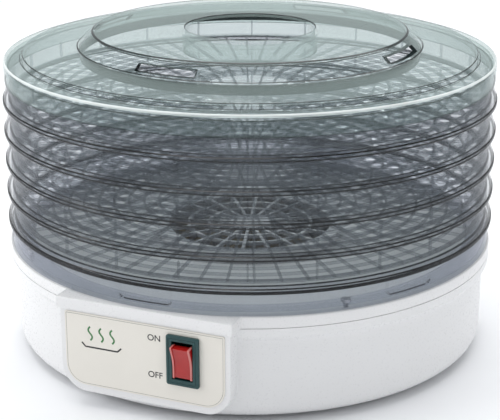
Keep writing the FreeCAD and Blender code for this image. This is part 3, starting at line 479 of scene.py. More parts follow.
def base_shell(colours):
    """White bowl: a round wall with a rolled foot and a flange, drawn out to a flat boss at the front.

    Radius as a function of azimuth a and height: the wall's own radius, blended into plane / cos(a)
    inside the boss's outline, so that the boss is flat. The switch's window and the cord's inlet go
    through both skins, and a round seat for the cord's bush covers the inlet's square corners.
    """
    low, high = node_box("base_housing")
    label, switch = node_box("control_label"), node_box("switch_body")
    plane, border, blend = -label[1][1], 3.9, (-3.6, 0.9)
    floor, top, flange, wall, radius = low[2], high[2], high[0], 2.5, BODY_RADIUS
    window = (switch[0] + switch[1])[[0, 2]] / 2, (18.8, 28.8)
    sill = window[0][1] - window[1][1] / 2
    inlet, inlet_half = node_box("cord_inlet_bush")[0][2] + 9.0, 6.3
    corners = [(147.6, floor), (radius, floor), (radius, top - 9), (flange, top - 5.2), (flange, top)]
    rows = rounded(corners, [0, 9, 5, 2.5, 0], 9, closed=False)
    level = rows[:, 1]
    upright = np.unique(np.round(np.concatenate([
        np.arange(7.0, 12.0, 0.4), np.arange(12.0, 31.0, 1.0), np.arange(32.0, top - 9, 6.0),
        [sill, sill + window[1][1], inlet - inlet_half, inlet + inlet_half],
        level[level > floor + 0.01]]), 4))
    first = rows[level <= floor + 0.01]
    line = np.vstack([first, np.column_stack([np.interp(upright, level, rows[:, 0]), upright])])
    inner = offset_line(line, wall)
    angle = azimuths(1.5, [(-21.5, -13), (13, 21.5)])
    sides = np.arctan2(window[0][0] + np.array([-0.5, 0.5]) * window[1][0], plane)
    behind = inlet_half / radius
    kept = np.concatenate([sides, [behind - math.pi, math.pi - behind]])
    angle = np.sort(np.concatenate([angle[np.abs(angle[:, None] - kept).min(axis=1) > 0.002], kept]))
    ahead = np.abs(angle) < 0.6
    cosine = np.where(ahead, np.cos(angle), 1.0)
    across = np.where(ahead, plane * np.tan(angle), 500.0)
    field = boss_field(across[None, :], line[:, 1:2], label[1][0] + border, label[0][2] - 5.1, 17.0)
    share = smooth_step(*blend, field)
    skins = []
    for profile, depth in ((line, 0.0), (inner, wall)):
        reach = profile[:, 0:1] + share * ((plane - depth) / cosine - profile[:, 0:1])
        skins.append(polar_grid(reach, angle[None, :], profile[:, 1:2]))
    middle_row = (line[:-1, 1] + line[1:, 1]) / 2
    middle_angle = angle + np.mod(np.roll(angle, -1) - angle, 2 * math.pi) / 2
    holes = ((middle_row > sill) & (middle_row < sill + window[1][1]))[:, None] \
        & ((middle_angle > sides[0]) & (middle_angle < sides[1]))[None, :]
    holes |= (np.abs(middle_row - inlet) < inlet_half)[:, None] \
        & (np.abs(np.mod(middle_angle, 2 * math.pi) - math.pi) < behind)[None, :]
    seat = rounded([(6.2, 155), (13, 155), (13, 162), (6.2, 162)], [0.2, 0.2, 0.8, 0.4])
    patches = [pierced_shell(*skins, holes)]
    patches += aimed([turned(seat, 72)], (-1, 0, 0), (0, 0, 1), (0, 1, 0), (0, 0, inlet))
    return new_piece("base_shell", patches, "base", [white_abs(colours)], ["base_housing"])


def offset_line(line, distance):
    """An open line of (radius, height) moved to its left by a distance, square to its direction."""
    direction = np.gradient(line, axis=0)
    direction /= np.maximum(np.linalg.norm(direction, axis=1), 1e-9)[:, None]
    return line + distance * np.stack([-direction[:, 1], direction[:, 0]], -1)


def deck_cap(colours):
    """White cap on the bowl: a round flange with a square lip over the boss, a sunk deck and the throat.

    Its plan radius is the larger of the flange's and the lip's, min(front / cos a, side / |sin a|),
    and that bulge fades out between the flange and the deck.
    """
    low, high = node_box("top_deck")
    flange, front, bottom = high[0], -low[1], PARTING
    side, top, floor, throat = 58.6, high[2] - 1, bottom + 2.5, THROAT
    outline = rounded([(throat, bottom), (flange, bottom), (flange, top), (157.8, top), (154.5, floor),
                       (throat + 2.5, floor), (throat + 2.5, top + 1), (throat, top + 1)],
                      [0.3, 0.5, 0.9, 0.6, 1.5, 0.8, 0.6, 0.6])
    outline = finer(outline, 12.0)
    angle = azimuths(1.5, [(-22.5, -18), (18, 22.5)], 0.1)
    ahead = np.abs(angle) < 0.8
    face = np.where(ahead, front / np.where(ahead, np.cos(angle), 1), 0.0)
    flank = side / np.maximum(np.abs(np.sin(angle)), 0.05)
    plan = np.maximum(smooth_least(face, flank, 1.2), flange)
    fade = smooth_step(156.0, 160.5, outline[:, 0:1])
    grid = polar_grid(outline[:, 0:1] + fade * (plan - flange)[None, :], angle[None, :], outline[:, 1:2])
    return new_piece("deck_cap", [wrapped(grid)], "base", [white_abs(colours)], ["top_deck"])


def clear_ring(colours):
    """Smoked ring on the deck: a foot, a wall with six shallow tabs and the neck that carries tray 5."""
    low, high = node_box("base_ring")
    bottom, top, radius, wall = low[2], high[2], high[0], 1.8
    seat = node_box("tray_5")[0][2]
    neck = NECK_RADIUS
    outline = rounded([(147, bottom), (radius, bottom), (radius, seat - 1), (neck + 0.4, seat), (neck, top),
                       (neck - wall, top), (neck - wall - 0.1, seat - 0.6), (radius - wall, seat - 2),
                       (radius - wall, bottom + wall), (147, bottom + wall)],
                      [0.4, 0.5, 0.3, 0.3, 0.4, 0.4, 0.3, 0.3, 0.6, 0.4])
    outline = finer(outline, 0.8)
    half_width, tab_bottom, depth, corner = 17.5, seat - 10.6, 1.0, 2.6
    edge = math.degrees(half_width / radius)
    centres = range(-180, 181, 60)
    spans = [(centre + turn * edge - 1.2, centre + turn * edge + 1.2)
             for centre in centres for turn in (-1, 1)]
    angle = azimuths(1.5, spans, 0.12)
    sixth = math.pi / 3
    local = radius * (np.mod(angle + sixth / 2, sixth) - sixth / 2)
    upright = (outline[:, 1:2] < seat - 1.4) & (outline[:, 0:1] > radius - wall - 0.3)
    field = boss_field(local[None, :], outline[:, 1:2], half_width, tab_bottom, corner)
    share = smooth_step(-0.15, 0.45, field) * upright
    grid = polar_grid(outline[:, 0:1] - depth * share, angle[None, :], outline[:, 1:2])
    # Painted shade: the tabs' sloping sides, the neck's top and the seat's step take the near-black rim
    # finish.
    steep = (share > 0.2) & (share < 0.8)
    rim = (outline[:, 1:2] > top - 0.5) | (np.abs(outline[:, 1:2] - seat + 0.6) < 0.5)
    return new_piece("clear_ring", [wrapped(grid, (steep | rim).astype(int))], "base",
                     [smoky_ring_painted_light(colours), smoky_rim_painted_shade(colours)], ["base_ring"])


# ---------------------------------------------------------------- panel and switch

def switch_place():
    """Middle of the switch on the panel and the plane of the label's face."""
    low, high = node_box("switch_body")
    return np.array([(low[0] + high[0]) / 2, (low[2] + high[2]) / 2]), -node_box("control_label")[0][1]


def label_plate(colours):
    """Cream label with two round lower corners, a printed grey line inside its edge and the window."""
    low, high = node_box("control_label")
    centre, plane = switch_place()
    thick = high[1] - low[1]
    corners = [(low[0], low[2]), (high[0], low[2]), (high[0], high[2]), (low[0], high[2])]
    edge = rounded(corners, [13, 13, 1.2, 1.2], 9)
    half = np.array([9.4, 14.4])
    window = box_outline(centre - half, centre + half, 0.4, 9)
    loops = [loop(edge, 0), loop(edge, thick - 0.15), loop(inset(edge, 0.15), thick),
             loop(inset(edge, 0.9), thick), loop(inset(edge, 1.25), thick), loop(window, thick),
             loop(window, 0)]
    plate = lofted(loops, False, [0, 0, 0, 1, 0, 0, 0])
    return new_piece("label_plate", on_front(plate, plane - thick), "base",
                     [printed_film(colours), label_line(colours)], ["control_label"])


def ribbon(path, width, height):
    """A flat printed stroke: a rectangle, width across and height thick, carried along a path."""
    direction = np.gradient(path, axis=0)
    direction /= np.linalg.norm(direction, axis=1)[:, None]
    side = np.stack([-direction[:, 1], direction[:, 0]], -1) * width / 2
    low, high = np.full((len(path), 1), -0.02), np.full((len(path), 1), height)
    ends = ((-1, low), (1, low), (1, high), (-1, high))
    return lofted(np.stack([np.hstack([path + turn * side, level]) for turn, level in ends], axis=1))


def printed_marks(colours):
    """A generic warm-air mark, three waves x = sin(z) over a tray, and the two words by the switch."""
    centre, plane = switch_place()
    ink, height = [dark_ink(colours), green_ink(colours)], 0.06
    t = np.linspace(0, 1, 25)
    patches = []
    for index in range(3):
        x = -36.0 + 7.5 * index + 1.3 * np.sin(2 * np.pi * t)
        wave = ribbon(np.column_stack([x, 46.0 + 9.0 * t]), 1.1, height)
        patches += [(points, faces, 1) for points, faces, _ in wave]
    tray = rounded([(-42, 44), (-39.5, 41.5), (-17.5, 41.5), (-15, 44)], [0, 1.5, 1.5, 0], 6, closed=False)
    patches += ribbon(tray, 1.0, height)
    new_piece("printed_mark", on_front(patches, plane), "base", ink)
    for word, drop in (("ON", 9.6), ("OFF", -14.4)):
        letters(f"legend_{word.lower()}", word, (centre[0] - 23.8, -plane, centre[1] + drop), 5.6, ink[0])


def letters(name, word, place, size, ink):
    """A printed word: filled outlines given a hair of thickness and stood on the panel's plane."""
    curve = bpy.data.curves.new(name, "FONT")
    curve.body = word
    curve.size = size * MM
    curve.extrude = 0.04 * MM
    curve.offset = 0.06 * MM
    holder = bpy.data.objects.new(name, curve)
    mesh = bpy.data.meshes.new_from_object(holder)
    bpy.data.objects.remove(holder)
    bpy.data.curves.remove(curve)
    flat = np.empty(len(mesh.vertices) * 3)
    mesh.vertices.foreach_get("co", flat)
    u, v, w = flat.reshape(-1, 3).T
    stood = np.column_stack([u, -w, v]) + np.array(place) * MM
    mesh.vertices.foreach_set("co", stood.ravel())
    merge_doubles(mesh)
    mesh.name = name
    mesh.materials.clear()
    mesh.materials.append(ink)
    piece = bpy.data.objects.new(name, mesh)
    bpy.context.scene.collection.objects.link(piece)
    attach(piece, "base")
    return piece


def switch_shell(colours):
    """Teal switch: a bezel with a softened edge, a stepped window and the box behind the panel."""
    low, high = node_box("switch_body")
    centre, plane = switch_place()
    half = np.array([high[0] - low[0], high[2] - low[2]]) / 2
    face = -low[1] - plane
    depth = high[1] + plane

    def around(shrink, radius, level):
        return loop(box_outline(centre - half + shrink, centre + half - shrink, radius, 7), level)
    rim = [around(gap, 1.4 - gap, level) for gap, level in soft_edge(0, face, 0.7, 5)[1:]]
    rim += [around(1.5, 0.8, face), around(1.75, 0.7, face - 0.3), around(2.05, 0.6, face - 0.3),
            around(2.3, 0.5, face)]
    opening = [around(3.6, 0.5, face), around(3.9, 0.4, face - 0.35), around(3.9, 0.4, -10.0)]
    loops = [around(1.5, 0.6, -depth), around(1.5, 0.6, 0.02), around(0.2, 1.2, 0.02), *rim, *opening]
    pip = box_outline((-0.5, -0.5), (0.5, 0.5), 0.48)
    patches = lofted(loops)
    for side in (-1, 1):
        spot = centre + np.array([0, side * (half[1] - 2.95)])
        patches += prism(pip + spot, [(0, face - 0.2), (0, face + 0.2), (0.15, face + 0.35)])
    return new_piece("switch_shell", on_front(patches, plane), "base",
                     [green_nylon(colours)], ["switch_body"])


def rocker_cap(colours):
    """Red rocker in its off position: a hollowed face between two clear raised rims, whose pale colour is
    partly painted highlight.

    Its side outline is carried across from rim to rim, drawn in a little between them, then turned
    about the pivot by the rocker's tilt.
    """
    centre, _ = switch_place()
    pivot, tilt, tip, tall = ROCKER_PIVOT, math.radians(ROCKER_TILT), 5.8, 11.0
    corners = [(-tip, tall), (-tip + 2.1, 0), (-tip, -tall), (0.5, 0.6 - tall), (5, -2.5), (5, 2.5),
               (0.5, tall - 0.6)]
    side = finer(rounded(corners, [0.7, 26, 0.7, 1, 1, 1, 1], 7), 1.5)
    width, rim = 13.0, 1.3
    ends = soft_edge(-width / 2, width / 2, 0.4, 4)
    middle = [(0, rim - width / 2), (0.7, rim + 0.25 - width / 2), (0.7, width / 2 - rim - 0.25),
              (0, width / 2 - rim)]
    stations = [*ends[:4], *middle, *ends[4:]]
    # Rim stations take the pale rim finish: raised clear rims, with painted highlight along the rocker's
    # edges.
    shade = [1, 1, 1, 1, 0, 0, 0, 1, 1, 1, 1]
    patches = aimed(prism(side, stations, shade), (0, 1, 0), (0, 0, 1), (1, 0, 0))
    turn = np.array([[1, 0, 0], [0, math.cos(tilt), -math.sin(tilt)], [0, math.sin(tilt), math.cos(tilt)]])
    pin = [(points, faces, 0) for points, faces, _ in aimed(
        prism(box_outline((-1.2, -1.2), (1.2, 1.2), 1.19, 6), soft_edge(-7.6, 7.6, 0.2)),
        (0, 1, 0), (0, 0, 1), (1, 0, 0))]
    placed = [(points @ turn.T + np.array([centre[0], -pivot, centre[1]]), faces, shade)
              for points, faces, shade in patches + pin]
    return new_piece("rocker_cap", placed, "rocker",
                     [red_polycarbonate(colours), pale_rim_highlight(colours)], ["switch_rocker"])


# ---------------------------------------------------------------- trays

def tray_outline(seat, height, radius, neck, wall):
    """(radius, height) outline of a tray's wall: bead, flare, waist, neck, and the floor's ledge."""
    corners = [(radius - 1.9, 0), (radius, 0), (radius, 2.5), (radius - 0.7, 3.1), (162.1, 6), (160.3, 14),
               (neck, height), (neck - wall, height), (160.3 - wall, 14), (161.2 - wall, 6.2), (154.3, 6.2),
               (154.3, 4.2), (161.2, 4.2)]
    outline = rounded(corners, [0.5, 0.6, 0.3, 0.5, 3, 12, 0.6, 0.6, 8, 0.8, 0.3, 0.3, 0.3], 5)
    return outline + np.array([0, seat])


def tray_floor(seat, sizes):
    """Patches of a grid floor: square-section rings and spokes, and the ring round the middle hole."""
    under, top, hub, edge, half = seat + LEDGE, seat + LEDGE + 1.9, 30.3, 154.4, 0.8
    patches = []
    for middle in np.linspace(hub + 1.2, edge, sizes.tray_rings + 1)[1:-1]:
        ring = [(middle - half, under), (middle + half, under), (middle + half, top), (middle - half, top)]
        patches.append(turned(rounded(ring, 0.25, 2), 180))
    patches.append(turned(rounded([(hub, under), (hub + 2.4, under), (hub + 2.4, seat + 8), (hub, seat + 8)],
                                  0.4, 3), 120))
    patches.append(turned(rounded([(edge - 1, under), (edge + 2, under), (edge + 2, top), (edge - 1, top)],
                                  0.25, 2), 180))
    whole, outer = full_turn(sizes.tray_spokes // 2), full_turn(sizes.tray_spokes)[1::2]
    for start, turn in ((hub + 1.2, whole), (92.0, outer)):
        bar = box_outline((start, -half), (edge, half), 0.2, 2)
        for angle in turn:
            across, beside = (math.cos(angle), math.sin(angle), 0), (-math.sin(angle), math.cos(angle), 0)
            patches += aimed(prism(bar, [(0.1, under), (0, under + 0.2), (0, top - 0.2), (0.1, top)]),
                             across, beside, (0, 0, 1))
    return patches


def tray_shell(node, sizes, colours):
    """One tray: its flared wall, the stacking ribs inside the wall and the grid floor."""
    low, high = node_box(node)
    seat, height, radius = low[2], high[2] - low[2], high[0]
    outline = tray_outline(seat, height, radius, NECK_RADIUS, sizes.tray_wall / MM)
    middle = (outline + np.roll(outline, -1, axis=0)) / 2
    local = middle[:, 1] - seat
    # Painted shade: the bead's underside, the neck's top and a line at the flare's shoulder take the
    # near-black rim finish.
    edge = ((local < 0.5) & (middle[:, 0] > 161)) | (local > height - 0.35) | (np.abs(local - 2.9) < 0.35)
    patches = [turned(outline, 240, edge.astype(int))]
    rib = rounded([(156.6, -0.6), (158.6, -0.6), (158.6, 0.6), (156.6, 0.6)], 0.3, 3)
    for angle in full_turn(sizes.tray_ribs) + math.radians(7.5):
        across, beside = (math.cos(angle), math.sin(angle), 0), (-math.sin(angle), math.cos(angle), 0)
        patches += aimed(prism(rib, [(0.2, seat + 6), (0, seat + 6.3), (0, seat + 16), (0.4, seat + 16.8)]),
                         across, beside, (0, 0, 1))
    patches += tray_floor(seat, sizes)
    return new_piece(f"{node}_shell", patches, node,
                     [smoky_styrene(colours), smoky_rim_painted_shade(colours)], [node, f"{node}_grid"])


# ---------------------------------------------------------------- lid

def lid_lines():
    """(radius, height) lines of the lid's two skins, skirt bottom to vent bottom, in step with each other."""
    low, high = node_box("lid")
    skirt, crown = low[2], high[2]
    rim, step, foot, plateau, vent = skirt + 13.8, skirt + 17.2, skirt + 20, crown - 0.8, crown - 15.8
    outer = [(161.9, skirt), (162.5, rim), (151.5, rim), (149.9, step), (113.8, foot), (103.7, plateau),
             (45, crown), (43, crown), (43, vent)]
    inner = [(160.6, skirt), (160.6, rim - 2), (149.8, rim - 2), (148.2, step - 2), (112.4, foot - 2),
             (102.3, plateau - 2), (45.2, plateau - 2), (44.8, plateau - 2.6), (44.6, vent)]
    radii = [0, 1.6, 0.5, 0.6, 1.5, 2.5, 0.6, 0.6, 0]
    inner_radii = [0, 0.6, 0.4, 0.4, 1.2, 1.5, 0.2, 0.2, 0]
    return rounded(outer, radii, 6, closed=False), rounded(inner, inner_radii, 6, closed=False)


def lid_shell(colours):
    """Clear lid in one wall: skirt, flat rim, step, slope, coned plateau with four slots and the vent."""
    outer, inner = lid_lines()
    low, high = node_box("lid")
    slot, turn = np.array([low[2] + 21.2, low[2] + 25.2]), math.radians(LID_TURN)
    lines = []
    for line in (outer, inner):
        rises = np.diff(line[:, 1]) * (line[1:, 0] < 112)
        cone = int(np.argmax(rises)) + 1
        start, end = line[cone - 1], line[cone]
        share = (slot - start[1]) / (end[1] - start[1])
        lines.append(np.vstack([line[:cone], start + (end - start) * share[:, None], line[cone:]]))
    half = math.degrees(20 / 107)
    spans = [(90 * k - LID_TURN + s * half - 1, 90 * k - LID_TURN + s * half + 1)
             for k in range(-2, 3) for s in (-1, 1)]
    notch = [(45 * k - LID_TURN + s * 2.6 - 0.5, 45 * k - LID_TURN + s * 2.6 + 0.5)
             for k in range(-4, 5) for s in (-1, 1)]
    angle = azimuths(1.5, [(a, b) for a, b in spans + notch if -180 < a and b < 180], 0.25)
    middle = (angle + np.roll(angle, -1)) / 2 + turn
    quarter, eighth = math.pi / 2, math.pi / 4
    beside = np.abs(np.mod(middle + quarter / 2, quarter) - quarter / 2)
    level = (lines[0][:-1, 1] + lines[0][1:, 1]) / 2
    reach = (lines[0][:-1, 0] + lines[0][1:, 0]) / 2
    holes = ((level > slot[0]) & (level < slot[1]) & (reach > 103))[:, None] \
        & (beside < math.radians(half))[None, :]
    local = np.abs(np.mod(angle + turn + eighth / 2, eighth) - eighth / 2)
    notched = 1 - smooth_step(math.radians(2.4), math.radians(2.7), local)
    ribbed = smooth_step(0.82, 1.0, np.cos(angle * 24))
    skins = []
    for line, sunk in zip(lines, (0.0, 1.0)):
        flat = (line[:, 0:1] > 153.5) & (line[:, 0:1] < 159.8) & (line[:, 1:2] > low[2] + 11)
        collar = (line[:, 0:1] < 43.3) & (line[:, 1:2] < high[2] - 0.7)
        grid = polar_grid(line[:, 0:1] - 0.5 * ribbed * collar, angle[None, :],
                          line[:, 1:2] - 0.6 * sunk * notched * flat)
        skins.append(grid)
    # Painted shade: the skirt's bottom edge and thin lines at the step, slope foot, plateau edge and vent rim
    # take the dark rim finish.
    dark = (level < low[2] + 0.6) & (reach > 150)
    for line_radius, line_level in ((151.5, 14.0), (149.8, 17.0), (113.8, 20.1), (103.7, 29.7), (43.5, 30.4)):
        dark |= np.hypot(reach - line_radius, level - low[2] - line_level) < 0.75
    # Painted highlight: a thin band at the rim's rounded outer edge takes the pale edge finish.
    lit = np.hypot(reach - 162.0, level - low[2] - 13.3) < 0.75
    finish = np.broadcast_to((dark + 2 * (lit & ~dark))[:, None], holes.shape)
    # Painted shade: a thin ring under the lid, all in the dark rim finish, puts in the dark band seen under
    # the lid.
    shade_band_ring = rounded([(110.8, high[2] - 18.6), (112.4, high[2] - 18.6), (112.0, high[2] - 12.3),
                      (110.8, high[2] - 12.5)], 0.3, 3)
    patches = [pierced_shell(*skins, holes, finish), turned(shade_band_ring, 180, np.ones(len(shade_band_ring), int))]
    return new_piece("lid_shell", patches, "lid",
                     [clear_styrene(colours), clear_rim_painted_shade(colours), lid_painted_highlight(colours)], ["lid"])


# ---------------------------------------------------------------- finishes on the frame's own pieces

def nickel_steel():
    """Zinc-plated screw steel: bright, slightly mottled."""
    return solid_finish("zinc_steel", linear("#C2C4C6"), 0.8, 3.0, (0.22, 0.38), 0.6, 0.01, Metallic=1.0)


def galvanised_steel():
    """Hot-dip galvanised sheet with spangles of a few millimetres."""
    return solid_finish("galvanised_sheet", linear("#B4B8BC"), 0.72, 5.0, (0.3, 0.5), 2.0, 0.01, Metallic=1.0)


def lamination_steel():
    """Stack of punched silicon steel, dull grey."""
    return solid_finish("lamination_steel", linear("#77797D"), 0.75, 2.0, (0.4, 0.55), 0.5, 0.02,
                        Metallic=0.9)


def enamelled_copper():
    """Varnished copper winding."""
    return solid_finish("copper_winding", linear("#B4642F"), 0.6, 1.0, (0.2, 0.35), 0.6, 0.05, Metallic=0.9)


def sintered_bronze():
    """Oil-soaked sintered bronze, finely porous."""
    return solid_finish("bronze_bush", linear("#A9793F"), 0.7, 1.0, (0.35, 0.5), 0.3, 0.02, Metallic=1.0)


def ground_steel():
    """Ground shaft steel."""
    return solid_finish("shaft_steel", linear("#C9CBCE"), 0.9, 2.0, (0.12, 0.2), 0.3, 0.003, Metallic=1.0)


def brass_sheet():
    """Stamped brass blade."""
    return solid_finish("brass_blade", linear("#C9A458"), 0.8, 2.0, (0.2, 0.35), 0.5, 0.005, Metallic=1.0)


def drawn_can():
    """Drawn aluminium can of a thermal control."""
    return solid_finish("control_can", linear("#C6C6C8"), 0.85, 2.0, (0.25, 0.4), 0.5, 0.005, Metallic=1.0)


def oxidised_wire():
    """Heat-darkened resistance alloy."""
    return solid_finish("resistance_wire", linear("#6B6560"), 0.6, 2.0, (0.4, 0.6), 0.6, 0.02, Metallic=0.85)


def grey_nylon():
    """Natural grey nylon: waxy and matt."""
    return solid_finish("grey_nylon", linear("#BDBDB8"), 0.9, 15.0, (0.42, 0.55), 0.8, 0.01, IOR=1.53)


def pressed_mica():
    """Pressed mica board: tan flakes of a few millimetres with a pearly sheen."""
    return solid_finish("mica_sheet", linear("#B89F6C"), 0.6, 4.0, (0.3, 0.5), 2.0, 0.02, IOR=1.56)


def foot_rubber():
    """Moulded grey-black rubber: matt, slightly dusty."""
    return solid_finish("grey_rubber", linear("#2E2E30"), 0.7, 6.0, (0.6, 0.8), 0.6, 0.03, IOR=1.52)


WHITE_NODES = ("outlet_grille", "bottom_cover")
FRAME_FINISHES = (
    (nickel_steel, ("ring_screws", "cover_screws", "duct_screws", "motor_screws", "fan_clip")),
    (galvanised_steel, ("air_duct", "motor_bracket", "lower_bearing_bridge", "upper_bearing_bridge",
                        "heater_tabs")),
    (lamination_steel, ("motor_stator", "motor_rotor")),
    (enamelled_copper, ("motor_coil",)),
    (sintered_bronze, ("lower_bush", "upper_bush")),
    (ground_steel, ("motor_shaft",)),
    (brass_sheet, ("switch_terminals",)),
    (drawn_can, ("thermostat", "thermal_fuse")),
    (oxidised_wire, ("heater_coil",)),
    (grey_nylon, ("fan_impeller", "terminal_block")),
    (pressed_mica, ("heater_frame",)),
    (foot_rubber, ("foot_pads", "cord_inlet_bush")),
)


def coat(nodes, material):
    """Put one material on every slot of some CAD pieces."""
    for node in nodes:
        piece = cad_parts[node]
        if not piece.material_slots:
            piece.data.materials.append(material)
        for slot in piece.material_slots:
            slot.material = material


def finish_frame(colours):
    """Give every CAD piece that stays in view its own material."""
    coat(WHITE_NODES, white_abs(colours))
    for make, nodes in FRAME_FINISHES:
        coat(nodes, make())


# ---------------------------------------------------------------- stage

def studio_floor():
    """Pale seamless sweep: paper with the faintest mottling."""
    material = solid_finish("studio_paper", linear("#F4F5F7"), 0.985, 400.0, (0.55, 0.65), 5.0, 0.01)
    side = 3000.0
    outline = box_outline((-side, -side), (side, side), 200.0)
    mesh = bpy.data.meshes.new("studio_floor")
    points, faces, count = [], [], 0
    for patch_points, patch_faces, _ in prism(outline, [(0, -20.0), (0, 0.0)]):
        points.append(patch_points)
        faces.extend((patch_faces + count).tolist())
        count += len(patch_points)
    mesh.from_pydata((np.vstack(points) * MM).tolist(), [], faces)
    merge_doubles(mesh)
    mesh.materials.append(material)
    floor = bpy.data.objects.new("studio_floor", mesh)
    bpy.context.scene.collection.objects.link(floor)


def softbox(name, place, target, width, height, power, colour="#FFFFFF"):
    """A rectangular soft light that faces a point."""
    light = bpy.data.lights.new(name, "AREA")
    light.shape = "RECTANGLE"
    light.size, light.size_y = width, height
    light.energy = power
    light.color = linear(colour)[:3]
    lamp = bpy.data.objects.new(name, light)
    aim = np.array(target) - np.array(place)
    lamp.location = place
    yaw, flat = math.atan2(aim[1], aim[0]), math.hypot(aim[0], aim[1])
    lamp.rotation_euler = (math.atan2(flat, -aim[2]), 0.0, yaw - math.pi / 2)
    bpy.context.scene.collection.objects.link(lamp)


def studio():
    """Floor, soft lights and the camera at eye level above a worktop."""
    studio_floor()
    middle = (0.0, 0.0, 0.11)
    softbox("overhead_softbox", (-0.2, 0.1, 1.7), middle, 1.6, 1.6, 22.0)
    softbox("left_softbox", (-1.5, -0.9, 0.9), middle, 0.9, 1.4, 11.5)
    softbox("right_softbox", (1.7, -0.3, 0.8), middle, 0.7, 1.4, 2.5)
    softbox("back_softbox", (0.1, 1.3, 1.6), middle, 2.0, 0.9, 12.0)
    world = bpy.data.worlds.new("studio_air")
    world.use_nodes = True
    world.node_tree.nodes.clear()
    air = add_node(world.node_tree, "ShaderNodeBackground", {"Color": linear("#F6F8FB"), "Strength": 0.58})
    add_node(world.node_tree, "ShaderNodeOutputWorld", {"Surface": air.outputs[0]})
    scene = bpy.context.scene
    scene.world = world
    scene.view_settings.view_transform = "Standard"
    scene.cycles.transparent_max_bounces = 64
    azimuth, pitch, away, height = math.radians(23.0), math.radians(18.6), 0.9676, 0.4128
    view = bpy.data.cameras.new("view")
    view.lens = 106.96
    view.shift_y = -0.0108
    eye = bpy.data.objects.new("view", view)
    eye.location = (away * math.sin(azimuth), -away * math.cos(azimuth), height)
    eye.rotation_euler = (math.pi / 2 - pitch, 0.0, azimuth)
    scene.collection.objects.link(eye)
    scene.camera = eye


# ---------------------------------------------------------------- add-on

def swatch(name, description, code):
    """A colour property whose default is an sRGB hex code."""
    return bpy.props.FloatVectorProperty(name=name, description=description, subtype="COLOR", size=4,
                                         min=0.0, max=1.0, default=linear(code))


class DehydratorSizes(bpy.types.PropertyGroup):
    """Sizes that the frame leaves free."""
    tray_wall: bpy.props.FloatProperty(name="Tray wall", description="Thickness of the trays' clear walls",
                                       default=1.6 * MM, min=1 * MM, max=2 * MM, unit="LENGTH")
    tray_rings: bpy.props.IntProperty(name="Grid rings", description="Rings in each tray's floor",
                                      default=12, min=4, max=24)
    tray_spokes: bpy.props.IntProperty(name="Grid spokes", description="Spokes in the floor's outer field",
                                       default=60, min=24, max=96)
    tray_ribs: bpy.props.IntProperty(name="Wall ribs", description="Stacking ribs inside each tray's wall",
                                     default=24, min=6, max=48)


class DehydratorColours(bpy.types.PropertyGroup):
    """Colours of the mouldings and the printing."""
    white: swatch("White", "Base mouldings", "#E9E9E9")
    smoke: swatch("Smoke", "What the trays let through", "#F0F1F2")
    smoke_film: swatch("Smoke film", "Body colour of the tray plastic", "#8E9196")
    # Ring and ring film are paler than smoke and smoke film: painted light for the white deck shining through
    # the ring.
    ring: swatch("Ring", "What the base ring lets through", "#F7F8FA")
    ring_film_painted_light: swatch("Ring film", "Body colour of the base ring", "#B9BDC9")
    # Smoke rim is painted shade: the near-black colour put on the mouldings' rims for the light they trap.
    smoke_rim: swatch("Smoke rim", "Rims of the tray plastic", "#151618")
    lid: swatch("Lid", "What the lid lets through", "#F5F9F8")
    lid_film: swatch("Lid film", "Body colour of the lid plastic", "#A9B8B6")
    # Lid rim is painted shade: the dark colour put on the lid's rims and risers.
    lid_rim: swatch("Lid rim", "Rims of the lid plastic", "#2A3434")
    # Lid edge is a painted highlight: the near-white colour of the lid's rounded outer edge.
    lid_highlight_paint: swatch("Lid edge", "The lid's bright outer edge", "#F2F7F6")
    cream: swatch("Cream", "Label ground", "#E9E5DC")
    line: swatch("Label line", "Line round the label", "#A8A59C")
    ink: swatch("Ink", "Dark print", "#2C2C2E")
    green_ink: swatch("Green ink", "Green print", "#3C7D46")
    teal: swatch("Teal", "Switch body", "#0C4142")
    red: swatch("Red", "Rocker", "#B71D1B")
    # Rocker rim is partly painted highlight: the pale pink along the rocker's edges.
    rocker_edge_highlight: swatch("Rocker rim", "Clear rims of the rocker", "#D9807B")


def sizes_of(context):
    return context.scene.dehydrator_sizes


def colours_of(context):
    return context.scene.dehydrator_colours


class DEHYDRATOR_OT_base(bpy.types.Operator):
    """Build the white bowl, its cap and the smoked ring"""
    bl_idname = "dehydrator.base"
    bl_label = "Base"

    def execute(self, context):
        for build in (base_shell, deck_cap, clear_ring):
            build(colours_of(context))
        return {"FINISHED"}


class DEHYDRATOR_OT_panel(bpy.types.Operator):
    """Build the label, its printing, the switch and the rocker"""
    bl_idname = "dehydrator.panel"
    bl_label = "Panel and switch"

    def execute(self, context):
        for build in (label_plate, printed_marks, switch_shell, rocker_cap):
            build(colours_of(context))
        return {"FINISHED"}


class DEHYDRATOR_OT_trays(bpy.types.Operator):
    """Build the five trays"""
    bl_idname = "dehydrator.trays"
    bl_label = "Trays"

    def execute(self, context):
        for node in TRAYS:
            tray_shell(node, sizes_of(context), colours_of(context))
        return {"FINISHED"}


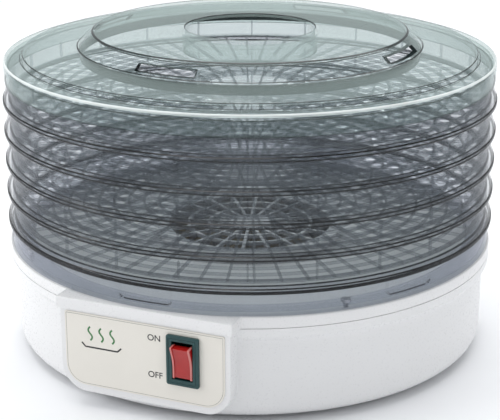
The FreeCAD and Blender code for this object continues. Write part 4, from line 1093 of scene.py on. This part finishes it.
class DEHYDRATOR_OT_lid(bpy.types.Operator):
    """Build the lid"""
    bl_idname = "dehydrator.lid"
    bl_label = "Lid"

    def execute(self, context):
        lid_shell(colours_of(context))
        return {"FINISHED"}


class DEHYDRATOR_OT_frame(bpy.types.Operator):
    """Give the frame's own pieces their finishes"""
    bl_idname = "dehydrator.frame"
    bl_label = "Machinery finishes"

    def execute(self, context):
        finish_frame(colours_of(context))
        return {"FINISHED"}


class DEHYDRATOR_OT_stage(bpy.types.Operator):
    """Set the floor, the lights and the camera"""
    bl_idname = "dehydrator.stage"
    bl_label = "Stage"

    def execute(self, context):
        studio()
        return {"FINISHED"}


STEPS = (DEHYDRATOR_OT_base, DEHYDRATOR_OT_panel, DEHYDRATOR_OT_trays, DEHYDRATOR_OT_lid,
         DEHYDRATOR_OT_frame, DEHYDRATOR_OT_stage)


class DEHYDRATOR_PT_panel(bpy.types.Panel):
    """Lists the sizes, the colours and the steps"""
    bl_idname = "DEHYDRATOR_PT_panel"
    bl_label = "Food dehydrator"
    bl_space_type = "VIEW_3D"
    bl_region_type = "UI"
    bl_category = "Dehydrator"

    def draw(self, context):
        layout = self.layout
        for group in (sizes_of(context), colours_of(context)):
            for name in type(group).__annotations__:
                layout.prop(group, name)
        for step in STEPS:
            layout.operator(step.bl_idname)


CLASSES = (DehydratorSizes, DehydratorColours, *STEPS, DEHYDRATOR_PT_panel)


def register():
    """Register the classes and hang the sizes and colours on the scene."""
    for cls in CLASSES:
        bpy.utils.register_class(cls)
    bpy.types.Scene.dehydrator_sizes = bpy.props.PointerProperty(type=DehydratorSizes)
    bpy.types.Scene.dehydrator_colours = bpy.props.PointerProperty(type=DehydratorColours)


def unregister():
    """Undo register."""
    del bpy.types.Scene.dehydrator_colours
    del bpy.types.Scene.dehydrator_sizes
    for cls in reversed(CLASSES):
        bpy.utils.unregister_class(cls)


def main():
    """Register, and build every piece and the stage."""
    register()
    bpy.ops.dehydrator.base()
    bpy.ops.dehydrator.panel()
    bpy.ops.dehydrator.trays()
    bpy.ops.dehydrator.lid()
    bpy.ops.dehydrator.frame()
    bpy.ops.dehydrator.stage()


if __name__ == "__main__":
    main()
